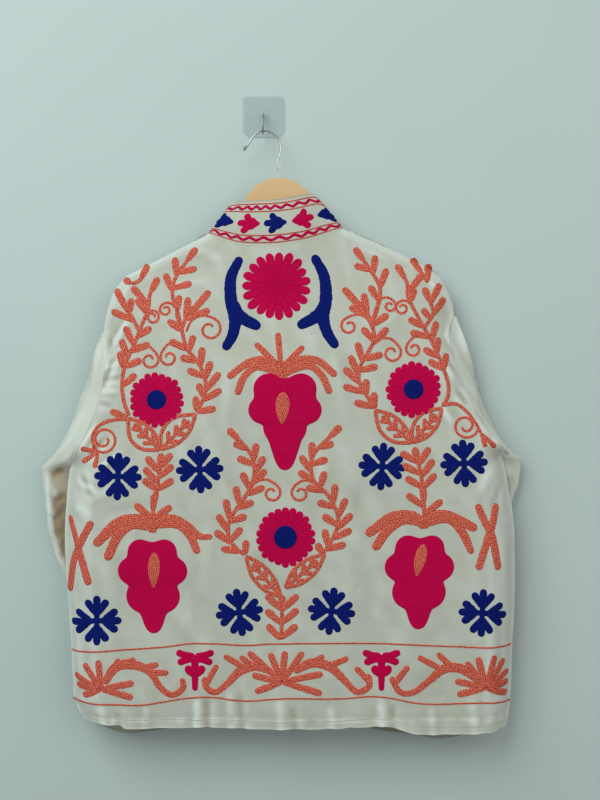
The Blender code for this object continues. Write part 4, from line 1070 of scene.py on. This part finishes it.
def chain_group():
    """Rows of chain stitch side by side: each loop is a V that swells and narrows, its row set off at random; the
    colour share is a painted highlight on each loop's raised middle, with random speckle.
    """
    group, given, leave = new_group("chain stitch rows", ("Vector", "Row width", "Loop"), ("Height", "Shade"))

    def calc(operation, *values):
        return math_node(group, operation, *values)

    parts = add_node(group, "SeparateXYZ", {0: given["Vector"]})
    row = calc("DIVIDE", parts["Y"], given["Row width"])
    cell = calc("FLOOR", row)
    across = calc("ABSOLUTE", calc("SUBTRACT", calc("SUBTRACT", row, cell), 0.5))
    offset = add_node(group, "TexWhiteNoise", {"W": cell}, noise_dimensions="1D")["Value"]
    loop = calc("ADD", calc("DIVIDE", parts["X"], given["Loop"]), calc("MULTIPLY", across, 0.8))
    loop = calc("FRACT", calc("ADD", loop, offset))
    swell = calc("SINE", calc("MULTIPLY", loop, math.pi))
    arch = calc("SUBTRACT", 1.0, calc("MULTIPLY", calc("MULTIPLY", across, across), 4.0))
    height = calc("MULTIPLY", arch, calc("MULTIPLY_ADD", swell, 0.6, 0.4))
    # the colour share: painted highlight where a loop stands highest, plus the thread's random speckle
    speckle = calc("SUBTRACT", calc("MULTIPLY", noise(group, given["Vector"], 0.55), 3.6), 1.85)
    shade = calc("ADD", calc("MULTIPLY", height, 1.05), speckle)
    feed(group, leave, {"Height": height, "Shade": calc("MINIMUM", calc("MAXIMUM", shade, 0.0), 1.0)})
    return group


def thread_material(name, deep, light, row, loop, relief):
    """Cotton thread in chain stitch: two tones of its colour, blended by a painted highlight on the loops and by random
    speckle, and the stitches as relief; sizes in millimetres.
    """
    made, tree, shader, _ = new_material(name)
    place = add_node(tree, "UVMap", uv_map="UVMap")["UV"]
    rows = add_node(
        tree,
        "Group",
        {"Vector": place, "Row width": row, "Loop": loop},
        node_tree=bpy.data.node_groups.get("chain stitch rows") or chain_group(),
    )
    feed(tree, shader, {
        "Base Color": mix(tree, rows["Shade"], deep, light),
        "Roughness": 0.75,
        "Specular IOR Level": 0.06,
        "Normal": bump(tree, rows["Height"], relief, 0.0005),
    })
    return made


coral = thread_material("coral thread", (0.36, 0.020, 0.013), (0.86, 0.225, 0.145), 2.5, 4.0, 1.0)
magenta = thread_material("magenta thread", (0.42, 0.0, 0.038), (0.62, 0.0015, 0.088), 1.5, 3.2, 0.6)
navy = thread_material("navy thread", (0.001, 0.004, 0.085), (0.004, 0.016, 0.20), 1.5, 3.2, 0.7)
cream = thread_material("cream thread", (0.40, 0.40, 0.33), (0.58, 0.60, 0.52), 1.0, 2.4, 0.5)

# the hem's own line of machine stitches
hem_row = [(x + (6 if x < 0 else -6) * (k in (0, len(HEM_MM) - 1)), z + HEM_UP) for k, (x, z) in enumerate(HEM_MM)]
hem_path = path_of(hem_row, place=plain_place, step=0.6)
add_stitches("hem_stitches", [strand(hem_path, (1.5,), rise=0.0006, across=5, dot=3.2)], cream)

vines = []
for stem, ends in SPRIGS:
    vines.extend(sprig(stem, ends))
vines.extend(curl(*row) for row in CURLS)
for stem, ends in TENDRILS:
    vines.append(strand(path_of(stem, width=STEM), (STEM, 4.6)))
    vines.extend(bud(stem[-1], end, (4.0, 6.5, 8.0)) for end in ends)
for row in LEAVES:
    vines.extend(leaf(*row))
vines.extend(strand(path_of(table, width=widths[-1], past=(0, 0.8)), widths) for table, widths in ARMS)
vines.extend(bud(CROWN[0], end, (7.0, 8.0, 8.8, 8.8)) for end in CROWN[1:])
add_stitches("coral_vines", vines, coral)

border = [strand(path_of(table, width=LINE, step=0.5), (LINE,), across=5, dot=3.0) for table in BORDER_LINES]
for root, ends in FANS:
    border.extend(strand(path_of((root, end), width=8.5), (7.0, 9.0, 10.0, 9.5)) for end in ends)
for table, ends in WAVES:
    border.append(strand(path_of(table, width=8.0), WAVE_WIDTHS))
    border.extend(bud(bud_root(table, end, 8.0), end, (9.0, 9.0, 8.5)) for end in ends)
add_stitches("coral_border", border, coral)

blooms, eyes, almonds = [], [], []
for k, (across, down, radius, petals, eye) in enumerate(FLOWERS):
    depth = PETAL_DEPTH if eye else TUFT_DEPTH
    ring = petal_ring((across, down), radius, petals, depth, 20 + k)
    spine = np.broadcast_to(np.array([[across, down]], dtype=float), ring.shape)
    blooms.append(filled(chart_place(ring), chart_place(spine), radial=True))
    if eye:
        turn = np.linspace(0.0, 2 * math.pi, 64, endpoint=False)
        disc = np.array([across, down]) + eye * on_circle(turn)
        eyes.append(filled(chart_place(disc), chart_place(spine[:64]), rise=THREAD_RISE + TOP_RISE))
blooms.extend(filled(*heart_lines(*row), rings=16) for row in HEARTS)
for across, down in PALMS:
    blooms.extend(palm(across, down))
add_stitches("magenta_blooms", blooms, magenta)

for across, down, wide, tall, lean in ALMONDS:
    turn = np.linspace(0.0, 2 * math.pi, 80, endpoint=False)
    high = np.cos(turn)
    wide_here = wide * np.sin(turn) * (1.0 - 0.28 * high) * (1.0 - 0.25 * high**2)
    seed = np.stack([across + wide_here + lean * tall * high, down + tall * high], axis=1)
    core = np.stack([across + 0.6 * lean * tall * high, down + 0.6 * tall * high], axis=1)
    almonds.append(filled(chart_place(seed), chart_place(core), rise=THREAD_RISE + TOP_RISE))
add_stitches("coral_almonds", almonds, coral)

dark = list(eyes)
for across, down, size, turn in STARS:
    dark.extend(star((across, down), size, turn))
for trunk, foot in BRANCHES:
    dark.append(strand(path_of(trunk, width=12.0, step=1.6, past=(0.8, 0.8)), (12, 15.5, 17.5, 19, 16, 12.5)))
    dark.append(strand(path_of(foot, width=13.0, step=1.6, past=(0, 0.8)), (15.0, 18.0, 14.0)))
add_stitches("navy_flowers", dark, navy)


# The collar carries the same stitches in a band all round: two rows each of a wavy line between two
# dotted lines, and a row of three-lobed buds between them.
# heights above the neck seam, a wave's length and height, and the buds' spacing and height, in millimetres
COLLAR_HIGH = 0.062
COLLAR_LINES_MM = (4.5, 14.0, 46.5, 57.0)
COLLAR_WAVES_MM = (9.3, 51.8)
WAVE_LONG, WAVE_HIGH = 17.0, 1.8
PAW_APART, PAW_UP = 37.0, 30.0
collar_along = lengths(band[len(band) // 2])
collar_along -= collar_along[len(collar_along) // 2]


def collar_face(flat):
    """Places on the collar's outer face: along its middle line from the centre back, and up as a share."""
    rows, cols = band.shape[:2]
    across = np.interp(flat[..., 0], collar_along, np.arange(cols))
    up = np.clip(flat[..., 1] / COLLAR_HIGH, 0.0, 1.0) * (rows - 1)
    i, j = np.minimum(up.astype(int), rows - 2), np.minimum(across.astype(int), cols - 2)
    fi, fj = (up - i)[..., None], (across - j)[..., None]
    mixed = []
    for grid in (band, band_normals):
        low = grid[i, j] * (1 - fj) + grid[i, j + 1] * fj
        high = grid[i + 1, j] * (1 - fj) + grid[i + 1, j + 1] * fj
        mixed.append(low * (1 - fi) + high * fi)
    return mixed[0], unit(mixed[1])


def collar_strand(table, widths, across=7, step=1.3, dot=0.0):
    """A band of stitches on the collar through places in millimetres: along, then up."""
    path = path_of(table, place=plain_place, width=widths[-1], step=step)
    return strand(path, widths, surface=collar_face, across=across, dot=dot)


reach = (collar_along[0] / MM + 4.0, collar_along[-1] / MM - 4.0)
trims, wavy = [], []
for up in COLLAR_LINES_MM:
    at = np.linspace(*reach, 60)
    trims.append(collar_strand(np.stack([at, np.full(60, up)], axis=1), (2.6,), 5, 0.6, 2.8))
for up in COLLAR_WAVES_MM:
    at = np.arange(*reach, WAVE_LONG / 8.0)
    swing = up + WAVE_HIGH * np.sin(2 * math.pi * at / WAVE_LONG + 1.3 * np.sin(at / 21.0 + up))
    line = curve(np.stack([at, swing], axis=1), count=int((reach[1] - reach[0]) / 1.2))
    wavy.append(strand(line, (4.2,), surface=collar_face, across=7))
paws = {"magenta": [], "navy": []}
for k in range(-5, 6):
    centre, sign = k * PAW_APART + 1.0, (-1.0 if k >= 1 else 1.0)
    if not reach[0] + 16 < centre < reach[1] - 16:
        continue
    group = paws["navy" if k % 2 == 0 else "magenta"]
    root = (centre + sign * 4.0, PAW_UP)
    for far, rise in ((-16.5, 0.5), (-8.0, 13.0), (-9.0, -12.5)):
        group.append(collar_strand((root, (centre + sign * far, PAW_UP + rise)), (9.0, 9.5, 9.5), 9))
    body = (centre - sign * 4.0, PAW_UP), (centre + sign * 15.0, PAW_UP)
    group.append(collar_strand(body, (9.0, 19.0, 17.0, 9.0, 4.0), 9))
add_stitches("collar_coral_lines", trims, coral)
add_stitches("collar_magenta", wavy + paws["magenta"], magenta)
add_stitches("collar_navy", paws["navy"], navy)


# The hanger is a flat board of light plywood with a chromed wire hook. It hangs on a small chromed
# hook that is moulded into a clear plate on the wall.
PLY = (0.70, 0.46, 0.23)


def wood_material():
    """Light veneer: long grain lines from stretched noise, in two shades of the wood's colour."""
    made, tree, shader, place = new_material("plywood")
    stretched = add_node(tree, "Mapping", {"Vector": place, "Scale": (14.0, 300.0, 330.0)})["Vector"]
    grain = noise(tree, stretched, 1.0, 5.0, 0.6)
    dark, light = ([share * c for c in PLY] for share in (0.90, 1.04))
    feed(tree, shader, {
        "Base Color": mix(tree, grain, dark, light),
        "Roughness": 0.5,
        "Normal": bump(tree, grain, 0.2, 0.0002),
    })
    return made


def metal_material():
    """Chromed steel wire with faint uneven polish in its roughness."""
    made, tree, shader, place = new_material("chromed wire")
    feed(tree, shader, {
        "Base Color": (0.40, 0.43, 0.43, 1.0),
        "Metallic": 1.0,
        "Roughness": spread(tree, noise(tree, place, 400.0), to_min=0.16, to_max=0.34),
    })
    return made


def clear_material():
    """Clear plastic that lets most of the wall through, a little cloudy."""
    made, tree, shader, place = new_material("clear plastic")
    feed(tree, shader, {
        "Base Color": (0.62, 0.70, 0.72, 1.0),
        "Transmission Weight": 0.35,
        "IOR": 1.2,
        "Alpha": 0.4,
        "Roughness": spread(tree, noise(tree, place, 60.0), to_min=0.08, to_max=0.22),
    })
    return made


metal = metal_material()
for node, made in (
    ("hanger_board", wood_material()),
    ("hanger_hook", metal),
    ("wall_hook", metal),
    ("wall_plate", clear_material()),
):
    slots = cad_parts[node].data.materials
    for k in range(len(slots)):
        slots[k] = made


# The wall behind it, the soft light, and the camera at the photo's viewing angle. They are no part
# of the object.
WALL_SIZE = 3.0
WALL_BACK = 0.0006


def wall_material():
    """Pale painted plaster with a faint broad shade."""
    made, tree, shader, place = new_material("painted wall")
    base = mix(tree, noise(tree, place, 3.0), (0.49, 0.575, 0.56), (0.53, 0.62, 0.605))
    feed(tree, shader, {"Base Color": base, "Roughness": 0.7})
    return made


corner_signs = ((-1, -1), (1, -1), (1, 1), (-1, 1))
wall_corners = [(across * WALL_SIZE, WALL_BACK, up * WALL_SIZE) for across, up in corner_signs]
add_mesh("wall", wall_corners, [(0, 1, 2, 3)], wall_material())


def area_light(name, place, target, size, watts, colour):
    """A square soft light that faces its target."""
    data = bpy.data.lights.new(name, "AREA")
    data.energy = watts
    data.size = size
    data.color = colour
    made = bpy.data.objects.new(name, data)
    bpy.context.scene.collection.objects.link(made)
    away = np.array(target) - np.array(place)
    made.location = place
    yaw = math.atan2(away[1], away[0]) - math.pi / 2
    pitch = math.atan2(away[2], math.hypot(away[0], away[1]))
    made.rotation_euler = (pitch + math.pi / 2, 0.0, yaw)


area_light("window", (-1.15, -1.95, 1.05), (0.0, 0.0, -0.38), 2.0, 50.0, (0.91, 1.0, 0.985))
area_light("room", (1.4, -1.8, 0.1), (0.1, 0.0, -0.45), 1.8, 11.0, (1.0, 0.96, 0.92))
world = bpy.data.worlds.new("room")
world.use_nodes = True
world.node_tree.nodes["Background"].inputs["Color"].default_value = (0.93, 0.97, 0.96, 1.0)
world.node_tree.nodes["Background"].inputs["Strength"].default_value = 0.33
bpy.context.scene.world = world
bpy.context.scene.view_settings.view_transform = "Standard"
camera_data = bpy.data.cameras.new("camera")
camera_data.sensor_fit = "VERTICAL"
camera_data.sensor_height = SENSOR_MM
camera_data.lens = LENS_MM
camera = bpy.data.objects.new("camera", camera_data)
bpy.context.scene.collection.objects.link(camera)
camera.location = VIEW_POINT
camera.rotation_euler = (math.pi / 2, 0.0, 0.0)
bpy.context.scene.camera = camera
